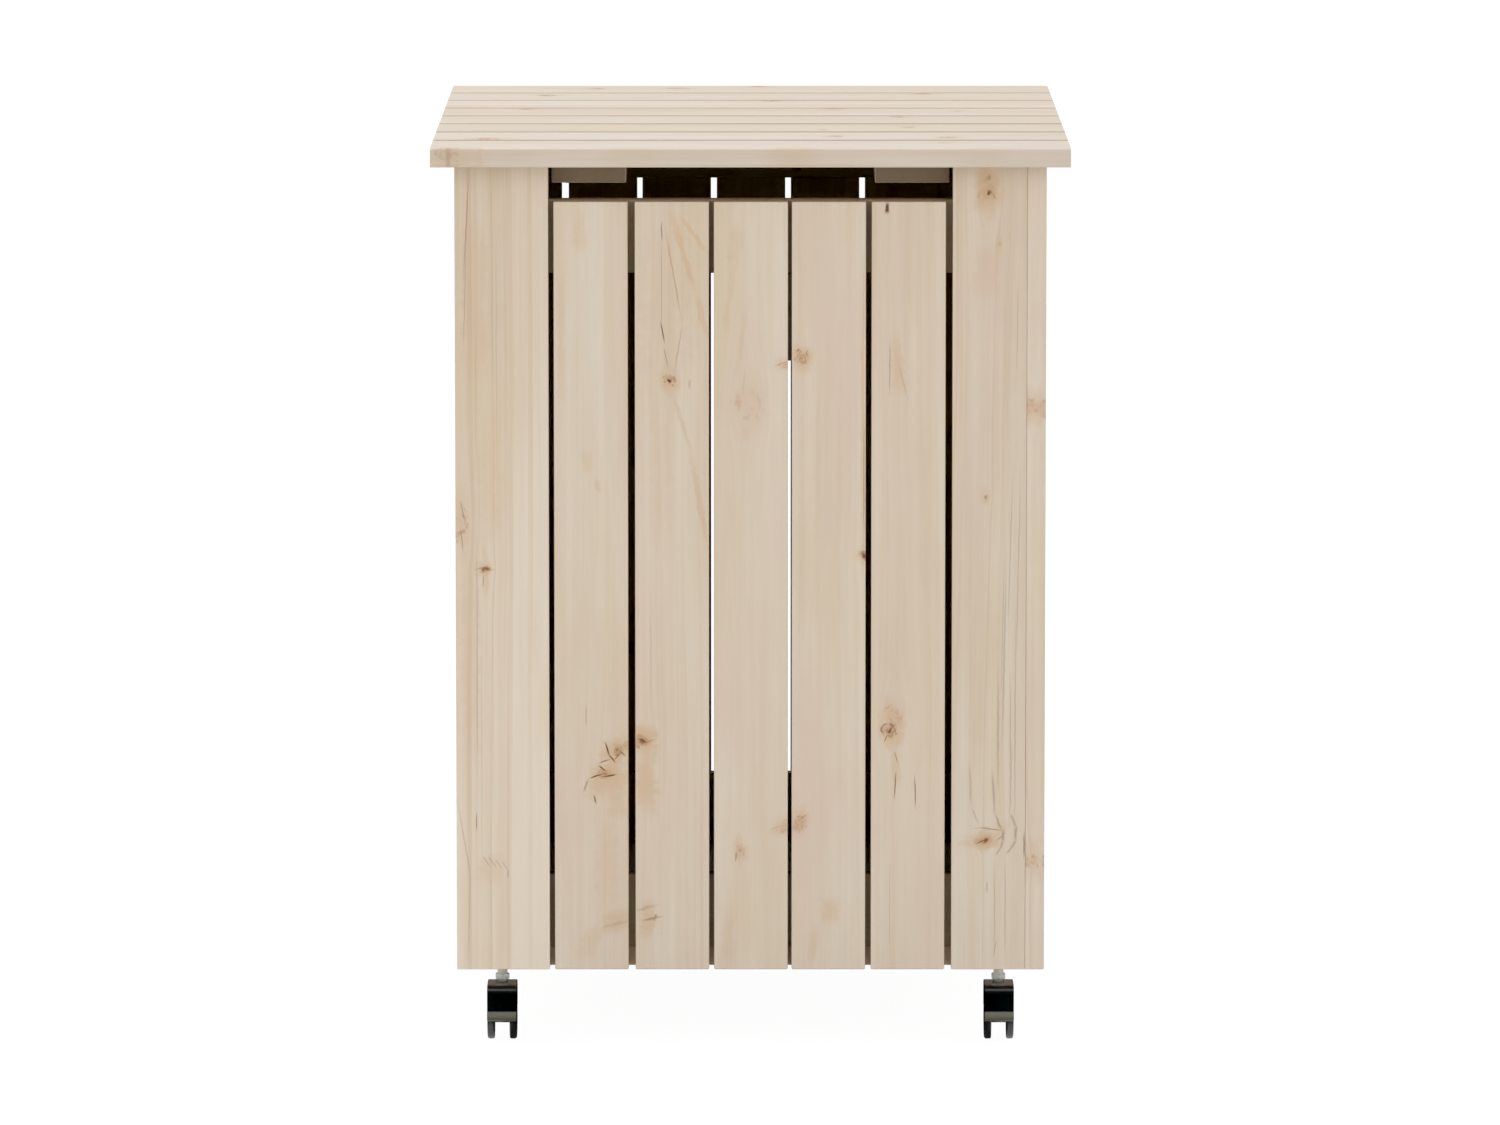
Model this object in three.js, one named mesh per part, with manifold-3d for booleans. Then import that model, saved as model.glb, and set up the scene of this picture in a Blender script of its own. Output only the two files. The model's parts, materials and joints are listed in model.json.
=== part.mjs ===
// Wheeled slatted feeder box: a pine box of upright slats on four swivel casters,
// closed by a slatted lid that turns on a strip hinge along the rear edge.
// Units are millimetres, +Z up. The origin is on the ground, under the middle of the lid.
// -Y is the front, +X is the right-hand side seen from the front.
import * as THREE from "three";
import { mergeVertices } from "three/addons/utils/BufferGeometryUtils.js";
import Module from "manifold-3d";

// ---------------------------------------------------------------- driving dimensions
const BOARD = 18; // thickness of every board
const PLAY = 0.2; // air between two parts that are fixed together
const FIT = 0.3; // radial air round a caster stem, spigot or axle

const BODY_W = 556; // box, outside, left to right
const BODY_D = 706; // box, outside, front to rear
const BODY_Z = 72; // underside of the box above the ground
const BODY_H = 764; // underside of the box to underside of the lid

const LID_W = 600;
const LID_D = 750;
const LID_BOARDS = 8;
const LID_BOARD_W = 89;
const LID_REST = 0.3; // air under the closed lid
const BATTEN_W = 70;
const BATTEN_X = 152; // centre of each lid batten from the middle
const BATTEN_FRONT = -330;
const BATTEN_REAR = 311;

const POST_FACE = 88; // a corner post shows this width on each of its two faces
const FRONT_SLAT_W = 69.7;
const FRONT_SLAT_H = 730; // front slats stop short of the lid, which leaves the reach-in gap
const FRONT_SLAT_X = [-150.2, -73.9, 0.4, 73.7, 148.7]; // hand-spaced centres
const REAR_SLAT_W = 69;
const REAR_SLAT_X = [-148.6, -74.3, 0.6, 75.2]; // centres of the first four
const LAST_REAR_SLAT_LEFT = 115.4; // the fifth rear slat runs from here to its post
const SIDE_SLAT_W = 70;
const SIDE_SLATS = 7;
const SIDE_PITCH = 75;

const RAIL_H = 69.5;
const FRONT_RAIL_RISE = 0.5; // front upper rail above the front slats
const RAIL_DROP = 0.6; // other upper rails below the lid
const FLOOR_UP = 1.2; // floor panel above the bottom ends of the slats
const STEM_IN = 42; // caster stem in from the two faces of the box
const STEM_R = 5;

// ---------------------------------------------------------------- derived places
const OUT_X = BODY_W / 2; // outer side faces
const OUT_Y = BODY_D / 2; // outer front and rear faces
const IN_X = OUT_X - BOARD - PLAY; // inside of the side walls
const IN_Y = OUT_Y - BOARD - PLAY; // inside of the front and rear walls
const LID_Z = BODY_Z + BODY_H; // underside of the lid
const WALL_TOP = LID_Z - LID_REST; // top ends of posts, rear slats and side slats
const FLOOR_TOP = BODY_Z + FLOOR_UP + BOARD;

// Names with the signs of x, or of x and y.
const SIDES = [
  ["left", -1],
  ["right", 1],
];
const CORNERS = [
  ["front_left", -1, -1],
  ["front_right", 1, -1],
  ["rear_left", -1, 1],
  ["rear_right", 1, 1],
];
const STEMS = CORNERS.map(([name, signX, signY]) => [
  name,
  signX * (OUT_X - STEM_IN),
  signY * (OUT_Y - STEM_IN),
]);

// ---------------------------------------------------------------- materials
const standard = (settings) => new THREE.MeshStandardMaterial(settings);
const pine = () => standard({ color: 0xd2c3af, roughness: 0.72, metalness: 0 });
const pineLid = () => standard({ color: 0xe1d6c6, roughness: 0.7, metalness: 0 });
const zinc = () => standard({ color: 0xb9bab4, roughness: 0.38, metalness: 0.85 });
const blackPlastic = () => standard({ color: 0x0c0c0b, roughness: 0.28, metalness: 0 });
const wheelPlastic = () => standard({ color: 0x161614, roughness: 0.5, metalness: 0 });

// ---------------------------------------------------------------- meshes and boards
const group = new THREE.Group();

function put(name, geometry, material) {
  const mesh = new THREE.Mesh(geometry, material);
  mesh.name = name;
  group.add(mesh);
  return mesh;
}

// A box, centred on the origin, as large as the span between two opposite corners.
const boxSpanning = (from, to) =>
  new THREE.BoxGeometry(...from.map((start, axis) => Math.abs(to[axis] - start)));
const middle = (from, to) => from.map((start, axis) => (start + to[axis]) / 2);

// A board between any two opposite corners.
function board(name, from, to, material = pine()) {
  put(name, boxSpanning(from, to), material).position.set(...middle(from, to));
}

const vectors = (points) => points.map(([a, b]) => new THREE.Vector2(a, b));
const shapeOf = (points) => new THREE.Shape(vectors(points));

// ---------------------------------------------------------------- corner posts
// Each post is an L in plan, with its outer corner on the corner of the box.
const POST_OUTLINE = [
  [OUT_X, OUT_Y],
  [OUT_X - POST_FACE, OUT_Y],
  [OUT_X - POST_FACE, OUT_Y - BOARD],
  [OUT_X - BOARD, OUT_Y - BOARD],
  [OUT_X - BOARD, OUT_Y - POST_FACE],
  [OUT_X, OUT_Y - POST_FACE],
];
for (const [name, signX, signY] of CORNERS) {
  const plan = shapeOf(POST_OUTLINE.map(([x, y]) => [signX * x, signY * y]));
  const geometry = new THREE.ExtrudeGeometry(plan, {
    depth: WALL_TOP - BODY_Z,
    bevelEnabled: false,
  });
  put(`corner_post_${name}`, geometry, pine()).position.z = BODY_Z;
}

// ---------------------------------------------------------------- wall slats
const FRONT_SLAT_TOP = BODY_Z + FRONT_SLAT_H;
FRONT_SLAT_X.forEach((x, i) =>
  board(
    `front_slat_${i + 1}`,
    [x - FRONT_SLAT_W / 2, -OUT_Y, BODY_Z],
    [x + FRONT_SLAT_W / 2, -OUT_Y + BOARD, FRONT_SLAT_TOP],
  ),
);

const rearSlats = REAR_SLAT_X.map((x) => [x - REAR_SLAT_W / 2, x + REAR_SLAT_W / 2]);
rearSlats.push([LAST_REAR_SLAT_LEFT, OUT_X - POST_FACE - PLAY]);
rearSlats.forEach(([left, right], i) =>
  board(`rear_slat_${i + 1}`, [left, OUT_Y - BOARD, BODY_Z], [right, OUT_Y, WALL_TOP]),
);

for (const [side, sign] of SIDES) {
  for (let i = 0; i < SIDE_SLATS; i++) {
    const y = (i - (SIDE_SLATS - 1) / 2) * SIDE_PITCH;
    board(
      `${side}_slat_${i + 1}`,
      [sign * (OUT_X - BOARD), y - SIDE_SLAT_W / 2, BODY_Z],
      [sign * OUT_X, y + SIDE_SLAT_W / 2, WALL_TOP],
    );
  }
}

// ---------------------------------------------------------------- inner rails
// A rail along the front (sign -1) or rear (sign 1) wall.
function crossRail(name, sign, bottom) {
  board(name, [-IN_X, sign * (IN_Y - BOARD), bottom], [IN_X, sign * IN_Y, bottom + RAIL_H]);
}
const UPPER_RAIL_Z = LID_Z - RAIL_DROP - RAIL_H; // underside of the rear and side upper rails
const LOWER_RAIL_Z = FLOOR_TOP + PLAY;
crossRail("front_upper_rail", -1, FRONT_SLAT_TOP + FRONT_RAIL_RISE - RAIL_H);
crossRail("rear_upper_rail", 1, UPPER_RAIL_Z);
crossRail("front_lower_rail", -1, LOWER_RAIL_Z);
crossRail("rear_lower_rail", 1, LOWER_RAIL_Z);

// The side rails fit between the front and rear ones.
const SIDE_RAIL_END = IN_Y - BOARD - PLAY;
for (const [side, sign] of SIDES) {
  board(
    `${side}_upper_rail`,
    [sign * (IN_X - BOARD), -SIDE_RAIL_END, UPPER_RAIL_Z],
    [sign * IN_X, SIDE_RAIL_END, UPPER_RAIL_Z + RAIL_H],
  );
}

// ---------------------------------------------------------------- floor panel
// One panel inside the walls, drilled at its corners for the caster stems.
function floorGeometry() {
  const plan = shapeOf([
    [-IN_X, -IN_Y],
    [IN_X, -IN_Y],
    [IN_X, IN_Y],
    [-IN_X, IN_Y],
  ]);
  for (const [, x, y] of STEMS) {
    const hole = new THREE.Path();
    hole.absarc(x, y, STEM_R + FIT, 0, Math.PI * 2, true);
    plan.holes.push(hole);
  }
  return new THREE.ExtrudeGeometry(plan, {
    depth: BOARD,
    bevelEnabled: false,
    curveSegments: 20,
  });
}
put("floor_panel", floorGeometry(), pine()).position.z = BODY_Z + FLOOR_UP;

// ---------------------------------------------------------------- lid
const LID_PITCH = (LID_D - LID_BOARD_W) / (LID_BOARDS - 1);
for (let i = 0; i < LID_BOARDS; i++) {
  const y = -LID_D / 2 + i * LID_PITCH;
  board(
    `lid_board_${i + 1}`,
    [-LID_W / 2, y, LID_Z],
    [LID_W / 2, y + LID_BOARD_W, LID_Z + BOARD],
    pineLid(),
  );
}
for (const [side, sign] of SIDES) {
  board(
    `lid_batten_${side}`,
    [sign * BATTEN_X - BATTEN_W / 2, BATTEN_FRONT, LID_Z - BOARD - PLAY],
    [sign * BATTEN_X + BATTEN_W / 2, BATTEN_REAR, LID_Z - PLAY],
  );
}

// ---------------------------------------------------------------- solids for cuts and joins
const wasm = await Module();
wasm.setup();

// Moves the geometry by the matrix and welds it into a solid.
function solid(geometry, matrix) {
  geometry.applyMatrix4(matrix);
  geometry.deleteAttribute("normal");
  geometry.deleteAttribute("uv");
  const merged = mergeVertices(geometry, 1e-4);
  return new wasm.Manifold(
    new wasm.Mesh({
      numProp: 3,
      vertProperties: new Float32Array(merged.getAttribute("position").array),
      triVerts: new Uint32Array(merged.index.array),
    }),
  );
}

// Flat-shaded geometry of a solid.
function geometryOf(manifold) {
  const mesh = manifold.getMesh();
  const indexed = new THREE.BufferGeometry();
  const positions = new Float32Array(mesh.vertProperties);
  indexed.setAttribute("position", new THREE.BufferAttribute(positions, 3));
  indexed.setIndex(new THREE.BufferAttribute(new Uint32Array(mesh.triVerts), 1));
  const flat = indexed.toNonIndexed();
  flat.computeVertexNormals();
  return flat;
}

const at = (x, y, z) => new THREE.Matrix4().makeTranslation(x, y, z);

// A cylinder along X, from x0 to x1, about the line through (y, z).
function rodX(radius, x0, x1, y, z, segments) {
  const turn = new THREE.Matrix4().makeRotationZ(Math.PI / 2);
  return solid(
    new THREE.CylinderGeometry(radius, radius, x1 - x0, segments),
    at((x0 + x1) / 2, y, z).multiply(turn),
  );
}

// A cylinder along Z, from z0 to z1, about the line through (x, y).
function rodZ(radius, z0, z1, x, y, segments) {
  const turn = new THREE.Matrix4().makeRotationX(Math.PI / 2);
  return solid(
    new THREE.CylinderGeometry(radius, radius, z1 - z0, segments),
    at(x, y, (z0 + z1) / 2).multiply(turn),
  );
}

const block = (from, to) => solid(boxSpanning(from, to), at(...middle(from, to)));

// A lathe profile of [radius, height] turned end for end about height 0.
const mirrored = (profile) => profile.map(([radius, height]) => [radius, -height]).reverse();

// A turned part, laid with its axis along X.
function putTurned(name, profile, segments, material, x, y, z) {
  const mesh = put(name, new THREE.LatheGeometry(vectors(profile), segments), material);
  mesh.rotation.z = Math.PI / 2;
  mesh.position.set(x, y, z);
}

// ---------------------------------------------------------------- strip hinge
// The body leaf lies on the rear face, the lid leaf under the lid's rear overhang.
const HINGE_L = 500;
const HINGE_OFF = 3.4; // hinge axis out from the rear face and down from the lid
const HINGE_Y = OUT_Y + HINGE_OFF;
const HINGE_Z = LID_Z - HINGE_OFF;
const LEAF_T = 1.2;
const LEAF_W = 15;
const KNUCKLE_L = 20; // pitch of the knuckles
const KNUCKLE_R = 3;
const KNUCKLES = Math.round(HINGE_L / KNUCKLE_L);
const END_AIR = 0.2; // each knuckle end is shortened by this
const NOTCH_AIR = 0.5; // radial air round the other leaf's knuckles
const HINGE_PIN_R = 1.2;
const HINGE_BORE_R = 1.5;
const BORE_OVERRUN = 5; // the bore cut runs past both ends
const LEAF_END = HINGE_L / 2 - END_AIR;

// Adds every second knuckle to the plate, from index `first`, and notches it for the rest.
function leaf(plate, first) {
  let result = plate;
  for (let i = 0; i < KNUCKLES; i++) {
    const x0 = -HINGE_L / 2 + i * KNUCKLE_L;
    const x1 = x0 + KNUCKLE_L;
    if (i % 2 === first) {
      const knuckle = rodX(KNUCKLE_R, x0 + END_AIR, x1 - END_AIR, HINGE_Y, HINGE_Z, 14);
      result = result.add(knuckle);
    } else {
      const notchR = KNUCKLE_R + NOTCH_AIR;
      const notch = rodX(notchR, x0 - END_AIR, x1 + END_AIR, HINGE_Y, HINGE_Z, 14);
      result = result.subtract(notch);
    }
  }
  const boreEnd = HINGE_L / 2 + BORE_OVERRUN;
  return result.subtract(rodX(HINGE_BORE_R, -boreEnd, boreEnd, HINGE_Y, HINGE_Z, 12));
}

const bodyPlate = block(
  [-LEAF_END, OUT_Y + PLAY, HINGE_Z - LEAF_W],
  [LEAF_END, OUT_Y + PLAY + LEAF_T, HINGE_Z],
);
const lidPlate = block(
  [-LEAF_END, HINGE_Y, LID_Z - PLAY - LEAF_T],
  [LEAF_END, HINGE_Y + LEAF_W, LID_Z - PLAY],
);
put("hinge_body_leaf", geometryOf(leaf(bodyPlate, 0)), zinc());
put("hinge_lid_leaf", geometryOf(leaf(lidPlate, 1)), zinc());

// Hinge pin, with a head at each end: [radius, distance from the middle].
const PIN_HALF = HINGE_L / 2 + 0.6; // middle to the underside of a head
const PIN_END = [
  [HINGE_PIN_R, PIN_HALF],
  [2.2, PIN_HALF],
  [2.2, PIN_HALF + 0.3],
  [1.6, PIN_HALF + 1.1],
  [0, PIN_HALF + 1.4],
];
putTurned("hinge_pin", [...mirrored(PIN_END), ...PIN_END], 12, zinc(), 0, HINGE_Y, HINGE_Z);

// ---------------------------------------------------------------- casters
const CASTER_W = 28;
const TRAIL = 8; // wheel axle in front of the swivel axis
const WHEEL_R = 20;
const WHEEL_T = 6.8;
const AXLE_R = 2;
const HUB_R = 4.4;
const WEB_W = CASTER_W - 2 * WHEEL_T - 0.8; // leaves air beside both wheels
const ROUND = 20; // segments round a stem, axle or bore

// Heights above the ground.
const SPIGOT_BOTTOM = 41.5;
const SOCKET_BOTTOM = 41;
const HOOD_TOP = 54.3;
const SOCKET_CUT_TOP = HOOD_TOP + 5;
const COLLAR_BOTTOM = HOOD_TOP + 0.5;
const COLLAR_TOP = 61.5;
const STEM_TOP = FLOOR_TOP - 1.5;

const SPIGOT_R = 4;
const COLLAR_FLATS = 13; // across the flats of the hexagon
const COLLAR_R = COLLAR_FLATS / 2 / Math.cos(Math.PI / 6);

// Stem: a rod that stands in the floor panel, a hexagonal collar, and a spigot on which
// the hood swivels. Rod and spigot run into the collar to join it.
function stemSolid(x, y) {
  const rod = rodZ(STEM_R, COLLAR_TOP - 1, STEM_TOP, x, y, ROUND);
  const collar = rodZ(COLLAR_R, COLLAR_BOTTOM, COLLAR_TOP, x, y, 6);
  const spigot = rodZ(SPIGOT_R, SPIGOT_BOTTOM, HOOD_TOP + 1, x, y, ROUND);
  return rod.add(collar).add(spigot);
}

// Hood and web outlines, seen along the axle: [Y, Z] from the axle, front at -Y.
// The hood runs from its front lower edge over the top to its rear lower edge.
const HOOD_OUTLINE = [
  [-25.0, 0.6], [-25.2, 3.0], [-24.6, 6.5], [-23.2, 9.4], [-22.8, 14.0],
  [-22.6, 22.0], [-22.4, 27.0], [-21.6, 30.4], [-19.4, 32.8], [-16.0, 33.9],
  [-4.0, 34.3], [14.0, 34.3], [19.0, 33.4], [22.4, 30.4], [24.0, 25.0],
  [24.4, 18.0], [24.2, 13.0], [23.2, 9.0], [20.9, 8.4],
];
const WEB_OUTLINE = [
  [-21.5, 2.0], [-21.5, 22.0], [-10.0, 30.0], [12.0, 30.0],
  [20.5, 22.0], [21.5, 9.5], [5.0, -1.0], [-5.0, -1.0],
];

// Wheel arch: an arc about the axle, in degrees up from the rear and over to the front.
const ARCH = { radius: 21.4, start: 24, end: 178.5, steps: 14 };
function archPoints() {
  const points = [];
  for (let i = 0; i <= ARCH.steps; i++) {
    const degrees = ARCH.start + (i * (ARCH.end - ARCH.start)) / ARCH.steps;
    const angle = (degrees * Math.PI) / 180;
    points.push([ARCH.radius * Math.cos(angle), ARCH.radius * Math.sin(angle)]);
  }
  return points;
}

// A [Y, Z] outline extruded along X, centred on x = 0.
function slab(points, width) {
  const geometry = new THREE.ExtrudeGeometry(shapeOf(points), {
    depth: width,
    bevelEnabled: false,
  });
  const turn = new THREE.Matrix4().makeBasis(
    new THREE.Vector3(0, 1, 0),
    new THREE.Vector3(0, 0, 1),
    new THREE.Vector3(1, 0, 0),
  );
  return solid(geometry, at(-width / 2, 0, 0).multiply(turn));
}

// Hood, with the axle through the origin: a shell over both wheels, and between them
// a web down to the round hub that carries the axle.
function hoodSolid() {
  const shell = slab([...HOOD_OUTLINE, ...archPoints()], CASTER_W);
  const web = slab(WEB_OUTLINE, WEB_W);
  const hub = rodX(HUB_R, -WEB_W / 2, WEB_W / 2, 0, 0, ROUND);
  const bore = rodX(AXLE_R + FIT, -CASTER_W, CASTER_W, 0, 0, ROUND);
  const socket = rodZ(
    SPIGOT_R + FIT,
    SOCKET_BOTTOM - WHEEL_R,
    SOCKET_CUT_TOP - WHEEL_R,
    0,
    TRAIL,
    ROUND,
  );
  return shell.add(web).add(hub).subtract(bore).subtract(socket);
}

// Wheel pair, two discs on one axle, from the middle out to one end:
// [radius, distance from the middle].
const WHEEL_OUT = CASTER_W / 2; // outer face of a wheel
const WHEEL_IN = WHEEL_OUT - WHEEL_T; // inner face
const WHEEL_HALF = [
  [AXLE_R, 0],
  [AXLE_R, WHEEL_IN],
  [18.4, WHEEL_IN],
  [19.6, WHEEL_IN + 0.7],
  [WHEEL_R, WHEEL_IN + 2],
  [WHEEL_R, WHEEL_OUT - 2.4],
  [19.4, WHEEL_OUT - 1],
  [17.8, WHEEL_OUT - 0.2],
  [15.6, WHEEL_OUT],
  [14.8, WHEEL_OUT - 1.2],
  [6.4, WHEEL_OUT - 1.2],
  [5.6, WHEEL_OUT],
  [0, WHEEL_OUT],
];
const WHEEL_PROFILE = [...mirrored(WHEEL_HALF), ...WHEEL_HALF.slice(1)];

for (const [corner, x, y] of STEMS) {
  const name = `caster_${corner}`;
  const axleY = y - TRAIL;
  const hood = hoodSolid().translate([x, axleY, WHEEL_R]);
  put(`${name}_stem`, geometryOf(stemSolid(x, y)), zinc());
  put(`${name}_hood`, geometryOf(hood), blackPlastic());
  putTurned(`${name}_wheels`, WHEEL_PROFILE, 30, wheelPlastic(), x, axleY, WHEEL_R);
}

export default group;
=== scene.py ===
"""A pine box with a hinged lid, on four twin-wheel casters.

+Z is up, the floor is at z 0 and the front faces -Y. The lid opens about a strip hinge at the rear.
"""
import bpy
import bmesh
import json
import math
import random
from functools import partialmethod, reduce
from mathutils import Matrix, Vector


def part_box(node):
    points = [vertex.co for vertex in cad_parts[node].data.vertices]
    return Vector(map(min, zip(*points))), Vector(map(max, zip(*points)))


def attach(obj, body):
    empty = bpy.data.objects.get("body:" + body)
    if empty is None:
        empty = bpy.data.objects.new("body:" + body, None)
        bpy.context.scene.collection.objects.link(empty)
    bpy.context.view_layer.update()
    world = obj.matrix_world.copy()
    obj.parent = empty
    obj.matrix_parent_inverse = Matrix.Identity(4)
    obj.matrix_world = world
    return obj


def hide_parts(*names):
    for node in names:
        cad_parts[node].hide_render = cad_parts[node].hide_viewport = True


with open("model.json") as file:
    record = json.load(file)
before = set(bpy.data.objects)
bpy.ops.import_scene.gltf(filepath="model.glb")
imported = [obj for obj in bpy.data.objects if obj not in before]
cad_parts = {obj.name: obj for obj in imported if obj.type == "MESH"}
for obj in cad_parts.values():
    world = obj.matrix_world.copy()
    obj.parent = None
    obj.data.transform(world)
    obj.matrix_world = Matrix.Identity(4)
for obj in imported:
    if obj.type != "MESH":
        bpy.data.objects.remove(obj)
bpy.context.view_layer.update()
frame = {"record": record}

MM = 0.001
CORNERS = ("front_left", "front_right", "rear_left", "rear_right")


# ------------------------------------------------------------------ node helpers
def srgb(*channels):
    """A linear RGBA colour from red, green and blue of 0 to 255."""
    def linear(value):
        value /= 255.0
        return value / 12.92 if value <= 0.04045 else ((value + 0.055) / 1.055) ** 2.4
    return (*map(linear, channels), 1.0)


class Net:
    """Builds a node tree. Most methods add one node and give back its output socket."""

    def __init__(self, tree):
        tree.nodes.clear()
        self.tree = tree
        self.count = 0

    def node(self, kind, **settings):
        node = self.tree.nodes.new(kind)
        node.location = (180 * (self.count % 12), -180 * (self.count // 12))
        self.count += 1
        for key, value in settings.items():
            setattr(node, key, value)
        return node

    def put(self, socket, value):
        """Links a socket, or sets its value."""
        if isinstance(value, bpy.types.NodeSocket):
            self.tree.links.new(value, socket)
        else:
            socket.default_value = value

    def fill(self, node, values):
        """Fills a node's inputs in order and gives back its first output."""
        for socket, value in zip(node.inputs, values):
            self.put(socket, value)
        return node.outputs[0]

    def calc(self, operation, *values, clamp=False):
        node = self.node("ShaderNodeMath", operation=operation, use_clamp=clamp)
        return self.fill(node, values)

    add = partialmethod(calc, "ADD")
    sub = partialmethod(calc, "SUBTRACT")
    mul = partialmethod(calc, "MULTIPLY")
    div = partialmethod(calc, "DIVIDE")
    min = partialmethod(calc, "MINIMUM")
    max = partialmethod(calc, "MAXIMUM")
    abs = partialmethod(calc, "ABSOLUTE")
    sqrt = partialmethod(calc, "SQRT")

    def squares(self, first, second):
        """The sum of two squares."""
        return self.add(self.mul(first, first), self.mul(second, second))

    def vector_calc(self, operation, *values):
        return self.fill(self.node("ShaderNodeVectorMath", operation=operation), values)

    vector_add = partialmethod(vector_calc, "ADD")
    vector_mul = partialmethod(vector_calc, "MULTIPLY")

    def scale(self, vector, factor):
        node = self.node("ShaderNodeVectorMath", operation="SCALE")
        self.put(node.inputs[0], vector)
        self.put(node.inputs["Scale"], factor)
        return node.outputs[0]

    def xyz(self, *values):
        return self.fill(self.node("ShaderNodeCombineXYZ"), values)

    def split(self, vector):
        node = self.node("ShaderNodeSeparateXYZ")
        self.put(node.inputs[0], vector)
        return tuple(node.outputs)

    def noise(self, place, detail=2.0, rough=0.5, line=False):
        """Noise at a vector, or at a single number if line is set."""
        node = self.node("ShaderNodeTexNoise", noise_dimensions="1D" if line else "3D")
        self.put(node.inputs["W" if line else "Vector"], place)
        node.inputs["Scale"].default_value = 1.0
        node.inputs["Detail"].default_value = detail
        node.inputs["Roughness"].default_value = rough
        return node.outputs[0]

    def smooth(self, value, low, high, start=0.0, end=1.0):
        """A smooth step from start to end while the value goes from low to high."""
        node = self.node("ShaderNodeMapRange", interpolation_type="SMOOTHSTEP")
        return self.fill(node, (value, low, high, start, end))

    def mix(self, amount, first, second):
        node = self.node("ShaderNodeMix", data_type="RGBA", blend_type="MIX")
        self.put(node.inputs[0], amount)
        self.put(node.inputs[6], first)
        self.put(node.inputs[7], second)
        return node.outputs[2]

    def group(self, tree, **values):
        node = self.node("ShaderNodeGroup")
        node.node_tree = tree
        for key, value in values.items():
            self.put(node.inputs[key], value)
        return node.outputs

    def attribute(self, name, output):
        return self.node("ShaderNodeAttribute", attribute_name=name).outputs[output]

    def output(self, kind, shader):
        self.put(self.node(kind).inputs["Surface"], shader)


def new_group(name, inputs, outputs):
    """A node group from lists of socket names. P and Q are vectors, the others numbers."""
    tree = bpy.data.node_groups.new(name, "ShaderNodeTree")
    for names, direction in ((inputs, "INPUT"), (outputs, "OUTPUT")):
        for socket in names.split():
            kind = "NodeSocketVector" if socket in ("P", "Q") else "NodeSocketFloat"
            tree.interface.new_socket(socket, in_out=direction, socket_type=kind)
    net = Net(tree)
    given = net.node("NodeGroupInput").outputs
    return tree, net, given, net.node("NodeGroupOutput").inputs


def new_material(name):
    material = bpy.data.materials.new(name)
    material.use_nodes = True
    return material, Net(material.node_tree)


def principled(net, colour, height, rough, spec, bump, depth, metal=0.0, coat=0.0):
    """The surface of a material: bump is the strength of the relief, depth its height in m."""
    shader = net.node("ShaderNodeBsdfPrincipled")
    net.put(shader.inputs["Base Color"], colour)
    net.put(shader.inputs["Roughness"], rough)
    shader.inputs["Metallic"].default_value = metal
    shader.inputs["Specular IOR Level"].default_value = spec
    if coat:
        shader.inputs["Coat Weight"].default_value = coat
        shader.inputs["Coat Roughness"].default_value = 0.12
    relief = net.node("ShaderNodeBump")
    relief.inputs["Strength"].default_value = bump
    relief.inputs["Distance"].default_value = depth
    net.put(relief.inputs["Height"], height)
    net.put(shader.inputs["Normal"], relief.outputs[0])
    net.output("ShaderNodeOutputMaterial", shader.outputs[0])


# ------------------------------------------------------------------ pine node groups
# Q is a place on a board as (across, through, along) in metres; P is the same place with the
# grain bent round the knots.
def field_group():
    """Growth rings, streaks and fibres. The rings are centred on (U0, W0)."""
    tree, net, given, result = new_group(
        "pine_field", "P Seed U0 W0 Slope Spacing Wobble Cross Saddle",
        "Late Streak Fibre Tone Hue")
    across, through, along = net.split(given["P"])
    shift = net.xyz(*(net.mul(given["Seed"], step) for step in (7.31, 3.17, 1.93)))

    def stretched(side, length):
        """The place scaled across and along the board, and shifted by the seed."""
        place = net.xyz(net.mul(across, side), net.mul(through, side), net.mul(along, length))
        return net.vector_add(place, shift)

    low = net.noise(stretched(8.0, 1.5), 1.5)
    fine = net.noise(stretched(60.0, 5.0))
    # distance from the heart, which slopes along the board and dips to either side of Cross
    radius = net.sqrt(net.squares(net.sub(across, given["U0"]), net.sub(through, given["W0"])))
    radius = net.add(radius, net.mul(given["Slope"], along))
    away = net.sub(along, given["Cross"])
    away = net.sqrt(net.add(net.mul(away, away), 0.0006))
    radius = net.sub(radius, net.mul(given["Saddle"], away))
    # coarse and fine waviness
    radius = net.add(radius, net.mul(net.sub(low, 0.5), given["Wobble"]))
    radius = net.add(radius, net.mul(net.sub(fine, 0.5), 0.0011))
    # ring number, with uneven ring widths
    turn = net.div(radius, given["Spacing"])
    uneven = net.noise(net.add(net.mul(radius, 70.0), given["Seed"]), line=True)
    turn = net.add(turn, net.mul(uneven, 3.2))
    part = net.calc("FRACT", turn)
    # each ring has its own strength
    white = net.node("ShaderNodeTexWhiteNoise", noise_dimensions="1D")
    net.put(white.inputs["W"], net.add(net.calc("FLOOR", turn), given["Seed"]))
    strength = net.add(0.10, net.mul(net.calc("POWER", white.outputs["Value"], 2.0), 0.95))
    # a ring darkens slowly and ends abruptly
    late = net.mul(net.smooth(part, 0.22, 0.90), net.smooth(part, 0.90, 1.0, 1.0, 0.0))
    net.put(result["Late"], net.mul(late, strength))
    net.put(result["Streak"], net.noise(stretched(150.0, 1.6), 3.0, 0.62))
    net.put(result["Fibre"], net.noise(stretched(1500.0, 24.0), 1.0))
    net.put(result["Tone"], net.noise(stretched(24.0, 3.4), 3.0, 0.58))
    hue_place = net.vector_add(stretched(20.0, 4.5), (31.0, 17.0, 5.0))
    net.put(result["Hue"], net.noise(hue_place))
    return tree


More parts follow.
